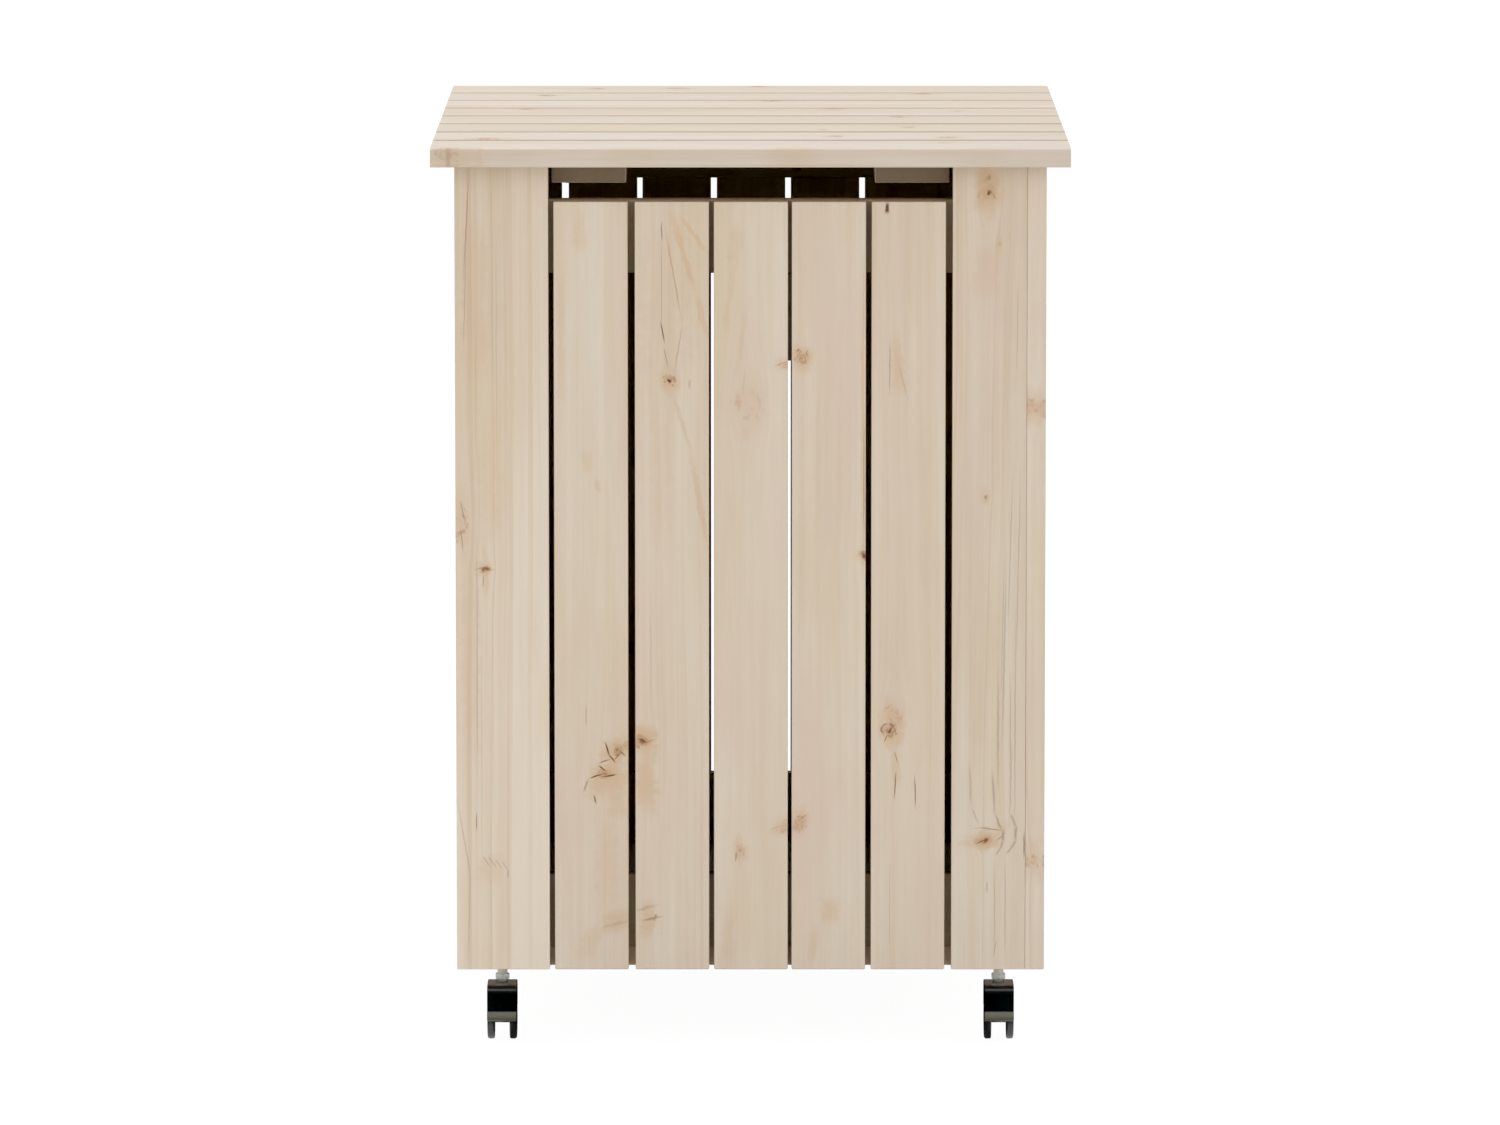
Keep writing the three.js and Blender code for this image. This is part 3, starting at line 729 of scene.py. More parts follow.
# Painted shade on the edge faces between the lid boards, as their brightness, from the second board
# to the last
LID_SEAM_PAINTED_SHADE = {"2": 0.20, "3": 0.25, "4": 0.35, "5": 0.45, "6": 0.60, "7": 0.70, "8": 0.70}


def make_board(name, low, high, body, replaced=None, ease=WALL_EASE, key=None, **changes):
    """One board. Its wood is chosen by the key, or by its name if there is no key."""
    if key == "lid_board_1":
        solid = lid_front_board(low, high, ease, LID_FRONT_EASE)
    else:
        solid = bevelled(low, high, ease, 2 if ease < 1 * MM else 3)
    bmesh.ops.recalc_face_normals(solid, faces=solid.faces[:])
    mesh = bm_mesh(solid, name)
    write_grain(mesh, low, high)
    wood = board_wood(key or name, low, high)
    wood.update(changes)
    piece(name, mesh, body, pine("pine_" + name, **wood), replaced, weighted=True)


def wood_changes(name):
    """How the place of a board on the box changes its wood."""
    if name == "lid_board_1":
        return LID_FRONT_WOOD
    if name.startswith("lid_board"):
        # the rear edge of the last board is open, so it isn't shaded
        return dict(pale=LID_SHEEN_TINT, flank=(LID_SEAM_PAINTED_SHADE[name[-1]], name != "lid_board_8"))
    # painted shade: the rails and battens sit in shade inside the box and under the lid, so their
    # wood is darkened and browned, most on the front rails seen through the slits
    if "rail" in name or "batten" in name:
        if name.startswith("front"):
            return dict(bias=0.80, shade=0.64, shine=0.10, ends=0.60)
        return dict(bias=0.28, shade=0.83 if "batten" in name else 0.95, shine=0.10, ends=0.60)
    return {}


def make_boards():
    bodies = frame["record"]["behaviour"]["bodies"]
    body_of = {name: body for body, names in bodies.items() for name in names}
    for name in sorted(body_of):
        if name.startswith(BOARD_PREFIXES):
            low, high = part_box(name)
            ease = LID_EASE if name.startswith("lid_board") else WALL_EASE
            make_board(name + "_board", low, high, body_of[name], name, ease, key=name,
                       **wood_changes(name))


def make_post(corner):
    """A corner post of two boards at right angles: one laps the edge of the other."""
    node = "corner_post_" + corner
    low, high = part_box(node)
    front, left = corner.startswith("front"), corner.endswith("left")
    face_x, side_y = (low.x, high.x), (low.y, high.y)
    face_y = (low.y, low.y + POST_BOARD) if front else (high.y - POST_BOARD, high.y)
    side_x = (low.x, low.x + POST_BOARD) if left else (high.x - POST_BOARD, high.x)
    if front == left:
        # the face board laps the side board
        side_y = (face_y[1] + POST_GAP, high.y) if front else (low.y, face_y[0] - POST_GAP)
    else:
        face_x = (side_x[1] + POST_GAP, high.x) if left else (low.x, side_x[0] - POST_GAP)
    for part, spans in (("face", (face_x, face_y)), ("side", (side_x, side_y))):
        starts, stops = zip(*spans, (low.z, high.z))
        changes = RIGHT_SIDE_WOOD if (corner, part) == ("front_right", "side") else {}
        make_board(f"{node}_{part}_board", Vector(starts), Vector(stops), "root", node,
                   POST_EASE, key=f"{corner}_{part}", **changes)


def make_front_block():
    """A short block behind the joint of the third and fourth front slats, under the rail."""
    rail_low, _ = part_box("front_upper_rail")
    _, slat_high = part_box("front_slat_3")
    next_low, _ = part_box("front_slat_4")
    joint = (slat_high.x + next_low.x) / 2
    # its wood is darkened to about half and browned: painted shade, as the block sits in the dark
    # behind the slats
    make_board("front_block_board",
               Vector((joint - 14 * MM, slat_high.y + 0.2 * MM, rail_low.z - 83 * MM)),
               Vector((joint + 16 * MM, slat_high.y + 14.2 * MM, rail_low.z - 0.4 * MM)),
               "root", bias=0.80, shine=0.10, shade=0.52)


make_boards()
for corner in CORNERS:
    make_post(corner)
make_front_block()


# ------------------------------------------------------------------ metal and plastic
def plain(name, colour, rough, vary, scale, bump, metal=0.0, spec=0.5, coat=0.0,
          stretch=(1, 1, 1), dust=None, lip=None):
    """A plain material, mottled by vary at a noise scale.

    dust is a (colour, strength) laid in patches; lip colours a band on the front of the hood, a
    painted reflection of the lit floor.
    """
    material, net = new_material(name)
    place = net.node("ShaderNodeTexCoord").outputs["Object"]
    grain = net.noise(net.vector_mul(place, tuple(scale * axis for axis in stretch)), 3.0, 0.6)
    patches = net.noise(net.vector_mul(place, (60.0, 60.0, 60.0)))
    bright = net.add(1.0 - vary, net.mul(net.add(grain, patches), vary))
    base = colour
    if dust:
        base = net.mix(net.smooth(patches, 0.45, 0.8, 0.0, dust[1]), colour, dust[0])
    if lip:
        # painted reflection of the lit floor, between heights of about 20 and 29 mm, on faces
        # turned to -Y
        _, _, height = net.split(place)
        painted_reflection_band = net.mul(net.smooth(height, 0.0196, 0.0206),
                       net.smooth(height, 0.0288, 0.0294, 1.0, 0.0))
        normal_y = net.split(net.node("ShaderNodeTexCoord").outputs["Normal"])[1]
        painted_reflection_band = net.mul(painted_reflection_band, net.smooth(net.mul(normal_y, -1.0), 0.5, 0.75))
        base = net.mix(painted_reflection_band, base, lip)
    base = base[:3] if isinstance(base, tuple) else base
    principled(net, net.scale(base, bright), grain,
               rough=net.add(rough - 0.05, net.mul(grain, 0.1)), spec=spec, bump=bump,
               depth=0.00008, metal=metal, coat=coat)
    return material


ZINC = plain("zinc", srgb(206, 207, 202), rough=0.34, metal=0.9, vary=0.10, scale=500.0, bump=0.15)
ZINC_ROLLED = plain("zinc_rolled", srgb(196, 197, 192), rough=0.36, metal=0.9, vary=0.10,
                    scale=300.0, bump=0.2, stretch=(0.15, 4, 4))
# the grey-brown lip colour is a painted reflection of the floor on the hood's front band
BLACK = plain("black_hood", srgb(14, 14, 13), rough=0.24, spec=0.6, vary=0.12, scale=900.0,
              bump=0.04, coat=0.30, lip=srgb(90, 86, 72))
# partly the zinc's own pale colour, partly painted light: the stem is a bright near-white without
# metal, so it stays bright in the shade under the box
STEM = plain("zinc_stem", srgb(236, 238, 230), rough=0.30, spec=0.9, vary=0.10, scale=600.0,
             bump=0.10)
TREAD = plain("wheel_tread", srgb(30, 29, 26), rough=0.34, spec=0.9, vary=0.15, scale=700.0,
              bump=0.10, dust=(srgb(92, 88, 76), 0.25))


# ------------------------------------------------------------------ solids built from outlines
def join_mesh(solids, name):
    joined = bmesh.new()
    for solid in solids:
        mesh = bm_mesh(solid)
        joined.from_mesh(mesh)
        bpy.data.meshes.remove(mesh)
    return bm_mesh(joined, name)


def lathe(profile, segments, along_x=False, centre=(0, 0, 0)):
    """Turns (radius, height) pairs about Z, or about X. The first and last radius may be 0."""
    solid = bmesh.new()
    rings = []
    for radius, height in profile:
        if radius < 1e-9:
            rings.append([solid.verts.new((0, 0, height))])
        else:
            angles = [2 * math.pi * i / segments for i in range(segments)]
            rings.append([solid.verts.new((radius * math.cos(angle), radius * math.sin(angle),
                                           height)) for angle in angles])
    for lower, upper in zip(rings, rings[1:]):
        for i in range(segments):
            j = (i + 1) % segments
            if len(lower) == 1:
                solid.faces.new((lower[0], upper[i], upper[j]))
            elif len(upper) == 1:
                solid.faces.new((lower[i], upper[0], lower[j]))
            else:
                solid.faces.new((lower[i], upper[i], upper[j], lower[j]))
    if along_x:
        solid.transform(Matrix.Rotation(math.radians(90), 4, "Y"))
    solid.transform(Matrix.Translation(Vector(centre)))
    bmesh.ops.recalc_face_normals(solid, faces=solid.faces[:])
    return solid


def cylinder(radius, start, stop, segments, **options):
    return lathe([(0, start), (radius, start), (radius, stop), (0, stop)], segments, **options)


def smooth_outline(points, sharp, steps=4):
    """A closed outline through the points, as a Catmull-Rom curve except at the sharp ones."""
    count = len(points)
    outline = []
    for i in range(count):
        here, after = points[i], points[(i + 1) % count]
        before, beyond = points[i - 1], points[(i + 2) % count]
        if i in sharp:
            before = (2 * here[0] - after[0], 2 * here[1] - after[1])
        if (i + 1) % count in sharp:
            beyond = (2 * after[0] - here[0], 2 * after[1] - here[1])
        for k in range(steps):
            t = k / steps
            outline.append(tuple(
                0.5 * ((2 * b) + (c - a) * t + (2 * a - 5 * b + 4 * c - d) * t * t
                       + (3 * b - a - 3 * c + d) * t ** 3)
                for a, b, c, d in zip(before, here, after, beyond)))
    return outline


def inset(points, depth):
    """The closed anticlockwise outline moved inwards."""
    moved = []
    for i, (x, y) in enumerate(points):
        last, following = points[i - 1], points[(i + 1) % len(points)]
        arrive = Vector((x - last[0], y - last[1]))
        leave = Vector((following[0] - x, following[1] - y))
        arrive = arrive.normalized() if arrive.length > 1e-9 else Vector((1, 0))
        leave = leave.normalized() if leave.length > 1e-9 else arrive
        normal = Vector((-arrive.y, arrive.x))
        middle = normal + Vector((-leave.y, leave.x))
        middle = middle.normalized() if middle.length > 1e-6 else normal
        lean = max(0.5, middle.dot(normal))
        moved.append((x + middle.x * depth / lean, y + middle.y * depth / lean))
    return moved


def skin(stations):
    """A closed solid through rings that have the same number of points."""
    solid = bmesh.new()
    rings = [[solid.verts.new(point) for point in station] for station in stations]
    for lower, upper in zip(rings, rings[1:]):
        for i in range(len(lower)):
            j = (i + 1) % len(lower)
            solid.faces.new((lower[i], lower[j], upper[j], upper[i]))
    solid.faces.new(rings[0][::-1])
    solid.faces.new(rings[-1])
    bmesh.ops.recalc_face_normals(solid, faces=solid.faces[:])
    return solid


def slab(outline, levels):
    """A solid mesh from a clockwise outline in (y, z), at levels of (x, inset)."""
    points = outline[::-1]
    return bm_mesh(skin([[(x, y, z) for y, z in (inset(points, depth) if depth else points)]
                         for x, depth in levels]))


def boolean(mesh, others, operation, name):
    """Joins or cuts meshes with the exact solver and gives back the new mesh."""
    collection = bpy.context.scene.collection
    target = bpy.data.objects.new("tmp_a", mesh)
    collection.objects.link(target)
    tools = []
    for other in others:
        tool = bpy.data.objects.new("tmp_b", other)
        collection.objects.link(tool)
        tools.append(tool)
        modifier = target.modifiers.new("bool", "BOOLEAN")
        modifier.operation = operation
        modifier.solver = "EXACT"
        modifier.object = tool
    bpy.context.view_layer.update()
    graph = bpy.context.evaluated_depsgraph_get()
    result = bpy.data.meshes.new_from_object(target.evaluated_get(graph), depsgraph=graph)
    result.name = name
    for spent in tools + [target]:
        bpy.data.objects.remove(spent)
    return result


def clean(mesh, distance=1e-6):
    solid = bmesh.new()
    solid.from_mesh(mesh)
    bmesh.ops.remove_doubles(solid, verts=solid.verts[:], dist=distance)
    bmesh.ops.dissolve_degenerate(solid, dist=distance, edges=solid.edges[:])
    bmesh.ops.recalc_face_normals(solid, faces=solid.faces[:])
    solid.to_mesh(mesh)
    solid.free()
    return mesh


def sharpen(mesh, angle):
    """Smooth faces with hard edges over an angle in degrees."""
    for face in mesh.polygons:
        face.use_smooth = True
    solid = bmesh.new()
    solid.from_mesh(mesh)
    for edge in solid.edges:
        hard = len(edge.link_faces) == 2 and edge.calc_face_angle(0) > math.radians(angle)
        edge.smooth = not hard
    solid.to_mesh(mesh)
    solid.free()
    return mesh


# ------------------------------------------------------------------ floor panel
STEM_HOLE = 5.3 * MM  # radius


def make_floor_panel():
    """The floor of the box, of glued strips, with a hole for each caster stem."""
    low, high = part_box("floor_panel")
    panel = bm_mesh(bevelled(low, high, 0.6 * MM, 2))
    holes = []
    for corner in CORNERS:
        middle = centre_of(f"caster_{corner}_stem")
        holes.append(bm_mesh(cylinder(STEM_HOLE, low.z - 0.01, high.z + 0.01, 32,
                                      centre=(middle.x, middle.y, 0))))
    panel = sharpen(clean(boolean(panel, holes, "DIFFERENCE", "floor_panel_board")), 32)
    write_grain(panel, low, high)
    wood = board_wood("floor_panel", low, high)
    wood.update(heart=(0.4, wood["heart"][1]), slope=0.004,
                strips=[(-173, 0.012, 0.12), (-87, -0.01, -0.2), (0, 0.012, 0.16),
                        (87, -0.012, -0.14), (173, 0.012, 0.1)])
    piece("floor_panel_glued", panel, "root", pine("pine_floor_panel", **wood),
          "floor_panel")


def centre_of(node):
    low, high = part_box(node)
    return (low + high) / 2


make_floor_panel()


# ------------------------------------------------------------------ strip hinge
PIN_LOW, PIN_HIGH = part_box("hinge_pin")
HINGE_Y, HINGE_Z = (PIN_LOW.y + PIN_HIGH.y) / 2, (PIN_LOW.z + PIN_HIGH.z) / 2
BODY_LEAF_LOW, BODY_LEAF_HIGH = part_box("hinge_body_leaf")
LID_LEAF_LOW, LID_LEAF_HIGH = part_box("hinge_lid_leaf")
HINGE_HALF = (BODY_LEAF_HIGH.x - BODY_LEAF_LOW.x) / 2
LEAF = 1.2 * MM              # thickness of a leaf
KNUCKLE_RADIUS = 3.0 * MM
KNUCKLE_EASE = 0.25 * MM
KNUCKLE_PITCH = 20 * MM
KNUCKLE_GAP = 0.2 * MM       # at each end of a knuckle
KNUCKLE_COUNT = round(2 * HINGE_HALF / KNUCKLE_PITCH)
PIN_BORE = 1.5 * MM          # radius
# Pin: radius and distance from its end, in mm. A head at each end, a thinner rod between.
PIN_HEAD = [(0, 0), (1.2, 0.12), (1.9, 0.5), (2.2, 1.1), (2.15, 1.4), (1.2, 1.4)]


def leaf_mesh(name, low, high, own):
    """A leaf with every second knuckle, starting at number own, and room for the others."""
    on_pin = dict(along_x=True, centre=(0, HINGE_Y, HINGE_Z))
    adds, cuts = [], []
    for i in range(KNUCKLE_COUNT):
        start = -KNUCKLE_COUNT * KNUCKLE_PITCH / 2 + i * KNUCKLE_PITCH
        stop = start + KNUCKLE_PITCH
        if i % 2 == own:
            start, stop = start + KNUCKLE_GAP, stop - KNUCKLE_GAP
            inner = KNUCKLE_RADIUS - KNUCKLE_EASE
            adds.append(lathe([(0, start), (inner, start),
                               (KNUCKLE_RADIUS, start + KNUCKLE_EASE),
                               (KNUCKLE_RADIUS, stop - KNUCKLE_EASE),
                               (inner, stop), (0, stop)], 32, **on_pin))
        else:
            cuts.append(cylinder(KNUCKLE_RADIUS + 0.5 * MM, start - KNUCKLE_GAP,
                                 stop + KNUCKLE_GAP, 32, **on_pin))
    mesh = bm_mesh(bevelled(low, high, 0.25 * MM, 2))
    mesh = boolean(mesh, [join_mesh(cuts, "cuts")], "DIFFERENCE", name)
    mesh = boolean(mesh, [join_mesh(adds, "adds")], "UNION", name)
    bore = bm_mesh(cylinder(PIN_BORE, -HINGE_HALF - 0.01, HINGE_HALF + 0.01, 24, **on_pin))
    return sharpen(clean(boolean(mesh, [bore], "DIFFERENCE", name)), 30)


def make_hinge():
    body = leaf_mesh("leaf_b", Vector((-HINGE_HALF, BODY_LEAF_LOW.y, BODY_LEAF_LOW.z)),
                     Vector((HINGE_HALF, BODY_LEAF_LOW.y + LEAF, HINGE_Z)), own=0)
    lid = leaf_mesh("leaf_l", Vector((-HINGE_HALF, HINGE_Y, LID_LEAF_HIGH.z - LEAF)),
                    Vector((HINGE_HALF, LID_LEAF_HIGH.y, LID_LEAF_HIGH.z)), own=1)
    piece("hinge_body_leaf_rolled", body, "root", ZINC_ROLLED, "hinge_body_leaf")
    piece("hinge_lid_leaf_rolled", lid, "lid", ZINC_ROLLED, "hinge_lid_leaf")
    half = (PIN_HIGH.x - PIN_LOW.x) / 2
    profile = [(radius * MM, -half + depth * MM) for radius, depth in PIN_HEAD]
    profile += [(radius * MM, half - depth * MM) for radius, depth in PIN_HEAD[::-1]]
    pin = lathe(profile, 28, along_x=True, centre=(0, HINGE_Y, HINGE_Z))
    piece("hinge_pin_rod", sharpen(bm_mesh(pin, "pin"), 40 - 8), "root", ZINC,
          "hinge_pin")


make_hinge()


# ------------------------------------------------------------------ screws
SCREW_STAGGER = 11 * MM      # screws of neighbouring slats sit this far above or below the middle
POST_SCREW_X = 221 * MM      # front and rear rails into the posts
POST_SCREW_Z = 17 * MM
SIDE_POST_SCREW_Y = 296 * MM
BATTEN_SCREW_X = 20 * MM     # from the batten's middle line
HINGE_SCREW_COUNT = 9
HINGE_SCREW_REACH = 0.94     # share of the hinge's half length
HINGE_SCREW_OUT = 10 * MM    # from the pin
HINGE_SCREW_SCALE = 0.62
# Screw head: radius, height in mm
SCREW_HEAD = [(0, -0.05), (4.0, -0.05), (4.15, 0.35), (3.9, 1.0), (3.2, 1.6), (2.0, 2.0),
              (0.8, 2.12), (0, 2.14)]


def screw_mesh():
    """A domed screw head with a cross recess, seated at z 0."""
    head = bm_mesh(lathe([(radius * MM, height * MM) for radius, height in SCREW_HEAD], 32))
    for k in (0, 1):
        slot = bmesh.new()
        bmesh.ops.create_cube(slot, size=1.0)
        slot.transform(Matrix.Rotation(k * math.pi / 2, 4, "Z")
                       @ Matrix.Diagonal((4.2 * MM, 0.95 * MM, 2.4 * MM, 1)))
        for vert in slot.verts:
            vert.co.z += 2.1 * MM
            if vert.co.z < 1.6 * MM:
                vert.co.x *= 0.55
                vert.co.y *= 0.8
        head = boolean(head, [bm_mesh(slot)], "DIFFERENCE", "screw")
    return sharpen(clean(head), 30)


SCREW = screw_mesh()


def make_screws(name, places, facing, body, scale=1.0):
    """One object of screw heads at points on a surface, each turned at random."""
    turn = Vector(facing).normalized().to_track_quat("Z", "Y").to_matrix().to_4x4()
    rng = rng_for(name)
    heads = []
    for place in places:
        spin = Matrix.Rotation(rng.uniform(0, math.pi / 2), 4, "Z")
        head = bmesh.new()
        head.from_mesh(SCREW)
        head.transform(Matrix.Translation(Vector(place)) @ turn @ spin @ Matrix.Scale(scale, 4))
        heads.append(head)
    piece(name, sharpen(join_mesh(heads, name), 30), body, ZINC)


def slat_screw_z(middle, number):
    return middle + (SCREW_STAGGER if number % 2 else -SCREW_STAGGER)


def screw_long_rail(side, level):
    """Screws on the inner face of a front or rear rail."""
    low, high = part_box(f"{side}_{level}_rail")
    y, inward = (high.y, 1) if side == "front" else (low.y, -1)
    z = (low.z + high.z) / 2
    places = [(centre_of(f"{side}_slat_{i}").x, y, slat_screw_z(z, i)) for i in range(1, 6)]
    places += [(s * POST_SCREW_X, y, z + k * POST_SCREW_Z) for s in (-1, 1) for k in (-1, 1)]
    make_screws(f"{side}_{level}_rail_screws", places, (0, inward, 0), "root")


def screw_side_rail(side):
    """Screws on the inner face of a left or right rail."""
    low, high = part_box(f"{side}_upper_rail")
    x, inward = (high.x, 1) if side == "left" else (low.x, -1)
    z = (low.z + high.z) / 2
    places = [(x, centre_of(f"{side}_slat_{i}").y, slat_screw_z(z, i)) for i in range(1, 8)]
    places += [(x, s * SIDE_POST_SCREW_Y, z) for s in (-1, 1)]
    make_screws(f"{side}_upper_rail_screws", places, (inward, 0, 0), "root")


def screw_batten(side):
    """Two screws from under the batten into each lid board."""
    low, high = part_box(f"lid_batten_{side}")
    places = []
    for i in range(1, 9):
        board_low, board_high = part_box(f"lid_board_{i}")
        y = (max(board_low.y, low.y) + min(board_high.y, high.y)) / 2
        places += [((low.x + high.x) / 2 + k * BATTEN_SCREW_X, y, low.z) for k in (-1, 1)]
    make_screws(f"lid_batten_{side}_screws", places, (0, 0, -1), "lid")


def screw_hinge():
    reach = HINGE_HALF * HINGE_SCREW_REACH
    row = [-reach + i * 2 * HINGE_HALF * HINGE_SCREW_REACH / (HINGE_SCREW_COUNT - 1)
           for i in range(HINGE_SCREW_COUNT)]
    make_screws("hinge_body_screws",
                [(x, BODY_LEAF_LOW.y + LEAF, HINGE_Z - HINGE_SCREW_OUT) for x in row],
                (0, 1, 0), "root", HINGE_SCREW_SCALE)
    make_screws("hinge_lid_screws",
                [(x, HINGE_Y + HINGE_SCREW_OUT, LID_LEAF_HIGH.z - LEAF) for x in row],
                (0, 0, -1), "lid", HINGE_SCREW_SCALE)


for side in ("front", "rear"):
    for level in ("upper", "lower"):
        screw_long_rail(side, level)
for side in ("left", "right"):
    screw_side_rail(side)
for side in ("left", "right"):
    screw_batten(side)
screw_hinge()


# ------------------------------------------------------------------ casters
# Outlines about the axle as (y, z) in mm, clockwise from the low point at -Y, over the top.
HOOD = [(-25.0, 0.6), (-25.3, 2.4), (-24.3, 6.0), (-23.0, 9.4), (-22.75, 11.0), (-22.7, 15.0),
        (-22.6, 22.0), (-22.4, 27.0), (-21.6, 30.4), (-19.4, 32.8), (-16.0, 33.9), (-4.0, 34.3),
        (14.0, 34.3), (19.0, 33.4), (22.4, 30.4), (24.0, 25.0), (24.4, 18.0), (24.2, 13.0),
        (23.2, 9.0), (20.8, 8.7)]
HOOD_SHARP = (0, len(HOOD) - 2, len(HOOD) - 1)
WEB = [(-22.6, 1.8), (-22.2, 14.0), (-21.0, 24.0), (-14.0, 31.0), (8.0, 32.2), (18.5, 29.6),
       (22.8, 20.0), (22.6, 10.0)]
HOOD_HALF = 14.0 * MM        # half the width of the hood
# Rounding of the hood's sides: distance in from the side, inset of the outline, in mm
CROWN = [(1.2, 0.0), (0.75, 0.06), (0.35, 0.25), (0.1, 0.55)]
# Rounding of the web between the wheels: x, inset in mm
WEB_CROWN = [(6.1, 0.0), (6.5, 0.12), (6.8, 0.5)]
# Half of the wheel pair: radius, distance along the axle from its middle, in mm
WHEEL = [(2.0, 0.0), (2.0, 7.2), (6.6, 7.2), (7.0, 7.6), (14.5, 7.7), (15.0, 7.2), (18.7, 7.2),
         (19.45, 7.5), (19.9, 8.1), (20.0, 8.9), (20.0, 11.4), (19.9, 12.4), (19.5, 13.1),
         (18.9, 13.6), (18.0, 13.9), (16.6, 14.0), (15.9, 13.9), (15.4, 13.4), (15.1, 12.7),
         (14.6, 12.4), (12.0, 12.3), (7.2, 12.5), (6.6, 12.8), (6.2, 13.5), (5.6, 13.9),
         (3.0, 14.0), (0.0, 14.0)]
COLLAR_LOW, COLLAR_TOP = 54.8 * MM, 61.5 * MM
COLLAR_FLATS = 13.0 * MM     # across the flats
SPIGOT_RADIUS = 4.0 * MM
THREAD_RADIUS, THREAD_DEPTH, THREAD_PITCH = 5.0 * MM, 0.62 * MM, 1.5 * MM


def arc(radius, start, stop, count):
    """Points on a circle about the axle, between two angles in degrees."""
    angles = [math.radians(start + i * (stop - start) / count) for i in range(count + 1)]
    return [(radius * math.cos(angle), radius * math.sin(angle)) for angle in angles]


def hood_mesh():
    """The moulded hood about the axle: a shell over both wheels and a web between them."""
    # the outline's closing stretch of 4 points gives way to the wheel arch
    shell = smooth_outline(HOOD, HOOD_SHARP)[:-4] + arc(21.4, 23, 178.4, 40)
    shell = [(y * MM, z * MM) for y, z in shell]
    web = [(y * MM, z * MM) for y, z in WEB + arc(4.6, -35, -145, 12)]
    levels = [(7.0 * MM, 0.0)] + [(HOOD_HALF - x * MM, depth * MM) for x, depth in CROWN]
    levels.append((HOOD_HALF, 0.95 * MM))
    web_levels = [(x * MM, depth * MM) for x, depth in WEB_CROWN]
    right = slab(shell, levels)
    left = slab(shell, mirrored(levels))
    web = slab(web, mirrored(web_levels) + web_levels)
    middle = slab(shell, [(-7.05 * MM, 0.0), (7.05 * MM, 0.0)])
    mesh = boolean(right, [left, middle, web], "UNION", "hood")
    axle_bore = bm_mesh(cylinder(2.3 * MM, -20 * MM, 20 * MM, 32, along_x=True))
    stem_socket = [(0, 21), (4.3, 21), (4.3, 33.4), (5.0, 34.2), (5.0, 40), (0, 40)]
    socket = bm_mesh(lathe([(radius * MM, z * MM) for radius, z in stem_socket], 32,
                           centre=(0, 8 * MM, 0)))
    mesh = boolean(mesh, [axle_bore, socket], "DIFFERENCE", "hood")
    return sharpen(clean(mesh, 2e-6), 34)


def mirrored(levels):
    return [(-x, depth) for x, depth in levels][::-1]


def wheel_mesh():
    """The wheel pair on its axle, turned about X, centred on the axle's middle."""
    profile = [(radius * MM, -x * MM) for radius, x in WHEEL[::-1]]
    profile += [(radius * MM, x * MM) for radius, x in WHEEL[1:]]
    return sharpen(bm_mesh(lathe(profile, 72, along_x=True), "wheels"), 40)


def stem_mesh(low_z, top_z):
    """Plain spigot, hexagonal collar with a tapered foot, and threaded rod, about Z."""
    segments = 48
    rings = []

    def ring(z, radius_at):
        angles = [2 * math.pi * i / segments for i in range(segments)]
        rings.append([(radius_at(angle) * math.cos(angle), radius_at(angle) * math.sin(angle), z)
                      for angle in angles])

    def round_ring(z, radius):
        ring(z, lambda angle: radius)

    def collar(angle):
        """Hexagon, cut back by the cone of the foot and the chamfer at the top."""
        turned = (angle + math.pi / 6) % (math.pi / 3) - math.pi / 6
        foot = 4.6 + 0.98 * above if above < 3.2 else 99
        chamfer = 6.4 + 1.9 * below if below < 0.7 else 99
        return min(COLLAR_FLATS / 2 / math.cos(turned), foot * MM, chamfer * MM)

    def thread(angle):
        phase = ((z / THREAD_PITCH) - angle / (2 * math.pi)) % 1.0
        crest = min(1.0, max(0.0, abs(2 * phase - 1) * 1.25 - 0.12))
        return THREAD_RADIUS - THREAD_DEPTH * (1 - crest) * fade - (1 - fade) * 0.3 * MM

    round_ring(low_z, 3.5 * MM)
    round_ring(low_z + 0.5 * MM, SPIGOT_RADIUS)
    round_ring(COLLAR_LOW, SPIGOT_RADIUS)
    height = COLLAR_TOP - COLLAR_LOW
    steps = 16
    for i in range(steps + 1):
        z = COLLAR_LOW + height * i / steps
        above = (z - COLLAR_LOW) / MM
        below = height / MM - above
        ring(z, collar)
    round_ring(COLLAR_TOP + 0.02 * MM, 5.6 * MM)
    z = COLLAR_TOP + 0.05 * MM
    thread_top = top_z - 0.8 * MM
    while z < thread_top:
        # the thread runs out at both ends
        fade = min(1.0, (z - COLLAR_TOP) / (1.0 * MM), max(0.0, (thread_top - z) / (0.8 * MM)))
        ring(z, thread)
        z += THREAD_PITCH / 8
    round_ring(top_z - 0.4 * MM, 4.4 * MM)
    round_ring(top_z, 3.8 * MM)
    return sharpen(bm_mesh(skin(rings), "stem"), 40)


HOOD_MESH, WHEEL_MESH = hood_mesh(), wheel_mesh()


def moved(mesh, offset):
    mesh.transform(Matrix.Translation(offset))
    return mesh


def make_caster(corner):
    caster = f"caster_{corner}"
    axle = centre_of(f"{caster}_wheels")
    stem_low, stem_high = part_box(f"{caster}_stem")
    stem = centre_of(f"{caster}_stem")
    piece(f"{caster}_hood_moulding", moved(HOOD_MESH.copy(), axle), f"{corner}_hood",
          BLACK, f"{caster}_hood")
    piece(f"{caster}_wheel_pair", moved(WHEEL_MESH.copy(), axle), f"{corner}_wheels",
          TREAD, f"{caster}_wheels")
    mesh = moved(stem_mesh(stem_low.z, stem_high.z), Vector((stem.x, stem.y, 0)))
    piece(f"{caster}_stem_threaded", mesh, "root", STEM, f"{caster}_stem")


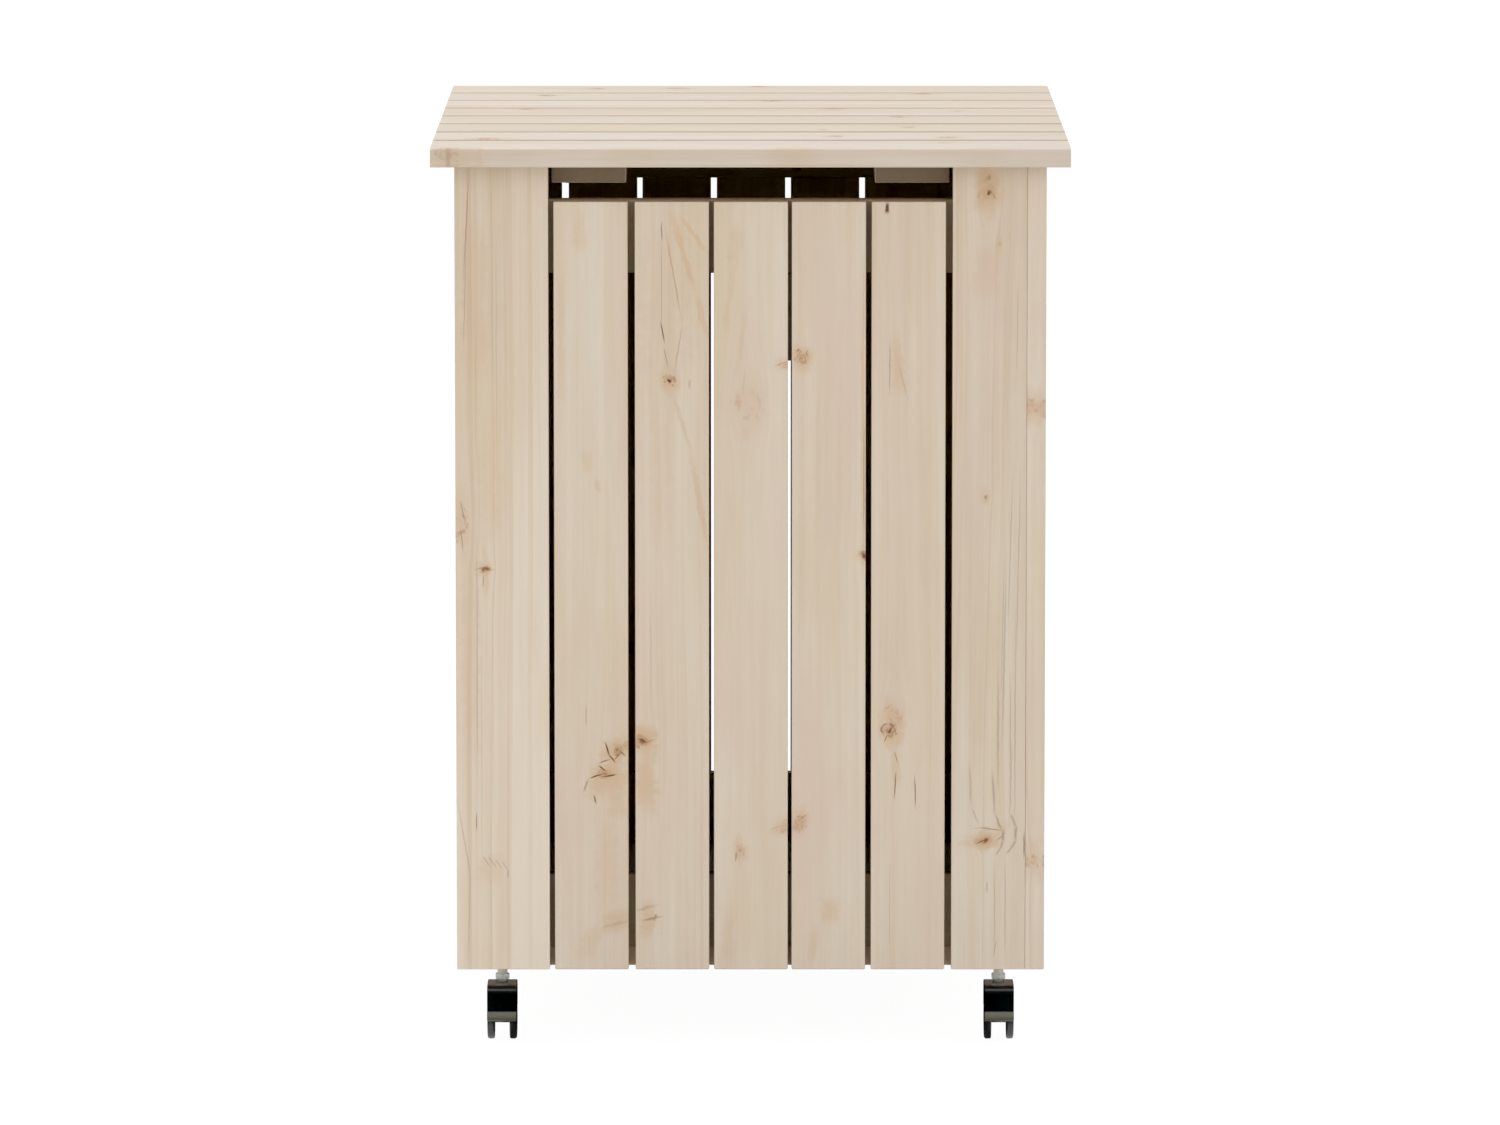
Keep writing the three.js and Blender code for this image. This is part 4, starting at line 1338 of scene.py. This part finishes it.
for corner in CORNERS:
    make_caster(corner)


# ------------------------------------------------------------------ floor, light and camera
BACKDROP = 1.06  # strength of the white floor and background as the camera sees them


def make_ground():
    bpy.ops.mesh.primitive_plane_add(size=60, location=(0, 0, 0))
    ground = bpy.context.object
    ground.name = "studio_floor"
    material, net = new_material("studio_floor")
    rays = net.node("ShaderNodeLightPath").outputs
    camera_ray, glossy_ray = rays["Is Camera Ray"], rays["Is Glossy Ray"]
    diffuse = net.node("ShaderNodeBsdfDiffuse")
    diffuse.inputs["Color"].default_value = (0.86, 0.86, 0.86, 1)
    glow = net.node("ShaderNodeEmission")
    glow.inputs["Color"].default_value = (1, 1, 1, 1)
    # painted reflection: for glossy rays the floor glows well below the horizon, with a painted
    # shadow that dims it under the box
    geometry = net.node("ShaderNodeNewGeometry").outputs
    steepness = net.split(geometry["Incoming"])[2]
    x = net.split(geometry["Position"])[0]
    painted_floor_reflection = net.mul(net.smooth(steepness, 0.18, 0.45),
                   net.smooth(net.abs(x), 0.230, 0.242, 0.12, 0.95))
    net.put(glow.inputs["Strength"],
            net.add(net.mul(camera_ray, BACKDROP), net.mul(glossy_ray, painted_floor_reflection)))
    # the camera still sees a little of the shadows
    blend = net.node("ShaderNodeMixShader")
    amount = net.max(net.mul(camera_ray, 0.93), glossy_ray)
    surface = net.fill(blend, (amount, diffuse.outputs[0], glow.outputs[0]))
    net.output("ShaderNodeOutputMaterial", surface)
    ground.data.materials.append(material)


def make_world():
    world = bpy.data.worlds.new("studio")
    bpy.context.scene.world = world
    world.use_nodes = True
    net = Net(world.node_tree)
    rays = net.node("ShaderNodeLightPath").outputs
    camera_ray, glossy_ray = rays["Is Camera Ray"], rays["Is Glossy Ray"]
    x, y, z = net.split(net.node("ShaderNodeTexCoord").outputs["Generated"])
    # the -Y half dims towards the zenith, the +Y half brightens
    ahead = net.sub(1.35, net.mul(net.smooth(z, 0.35, 0.85), 0.85))
    behind = net.add(0.75, net.smooth(z, 0.2, 0.8))
    back = net.smooth(y, -0.25, 0.25)
    sky = net.add(net.mul(ahead, net.sub(1.0, back)), net.mul(behind, back))
    # the camera's side of the studio is dark
    turn = net.div(net.abs(x), net.max(net.mul(y, -1.0), 0.0001))
    window = net.mul(net.smooth(turn, 0.15, 0.45, 1.0, 0.0), net.smooth(z, 0.3, 0.6, 0.45, 0.0))
    sky = net.mul(sky, net.sub(1.0, window))
    # shiny surfaces see a dark horizon under bright panels
    horizon = net.smooth(net.abs(z), 0.30, 0.50, 1.0, 0.0)
    shiny = net.add(net.mul(net.sub(1.0, horizon), 1.2), 0.08)
    sky = net.add(net.mul(sky, net.sub(1.0, glossy_ray)), net.mul(shiny, glossy_ray))
    background = net.node("ShaderNodeBackground")
    background.inputs["Color"].default_value = (1.0, 1.0, 1.0, 1)
    net.put(background.inputs["Strength"],
            net.add(net.mul(camera_ray, BACKDROP), net.mul(net.sub(1.0, camera_ray), sky)))
    net.output("ShaderNodeOutputWorld", background.outputs[0])


def area_light(name, place, target, side, power):
    """A square area light aimed at a target."""
    light = bpy.data.lights.new(name, "AREA")
    light.shape = "RECTANGLE"
    light.size = light.size_y = side
    light.energy = power
    lamp = bpy.data.objects.new(name, light)
    bpy.context.scene.collection.objects.link(lamp)
    lamp.location = place
    aim = Vector(target) - Vector(place)
    lamp.rotation_euler = aim.to_track_quat("-Z", "Y").to_euler()
    lamp.visible_camera = False


def set_render(scene):
    view = scene.view_settings
    view.view_transform = "Standard"
    view.look = "None"
    view.use_curve_mapping = True
    view.exposure = -0.03
    view.curve_mapping.black_level = (0.0080, 0.0068, 0.0065)
    view.curve_mapping.update()
    scene.cycles.diffuse_bounces = 4
    scene.cycles.max_bounces = 8
    scene.cycles.sample_clamp_indirect = 4.0


def make_camera(scene):
    """A long lens in front of the box, tilted a little down."""
    camera = bpy.data.cameras.new("camera")
    camera.sensor_fit = "HORIZONTAL"
    camera.sensor_width = 36.0
    camera.lens = 239.17
    camera.clip_start = 0.5
    camera.clip_end = 100
    eye = bpy.data.objects.new("camera", camera)
    scene.collection.objects.link(eye)
    eye.location = (-0.00045, -9.6726, 1.6412)
    eye.rotation_euler = (math.radians(90 - 7.219), 0, 0)
    scene.camera = eye


make_ground()
make_world()
area_light("key", place=(-2.2, -3.0, 4.4), target=(0, 0, 0.5), side=2.6, power=14)
area_light("fill", place=(2.8, -2.6, 1.8), target=(0, 0, 0.45), side=2.4, power=5)
set_render(bpy.context.scene)
make_camera(bpy.context.scene)

bpy.context.view_layer.update()
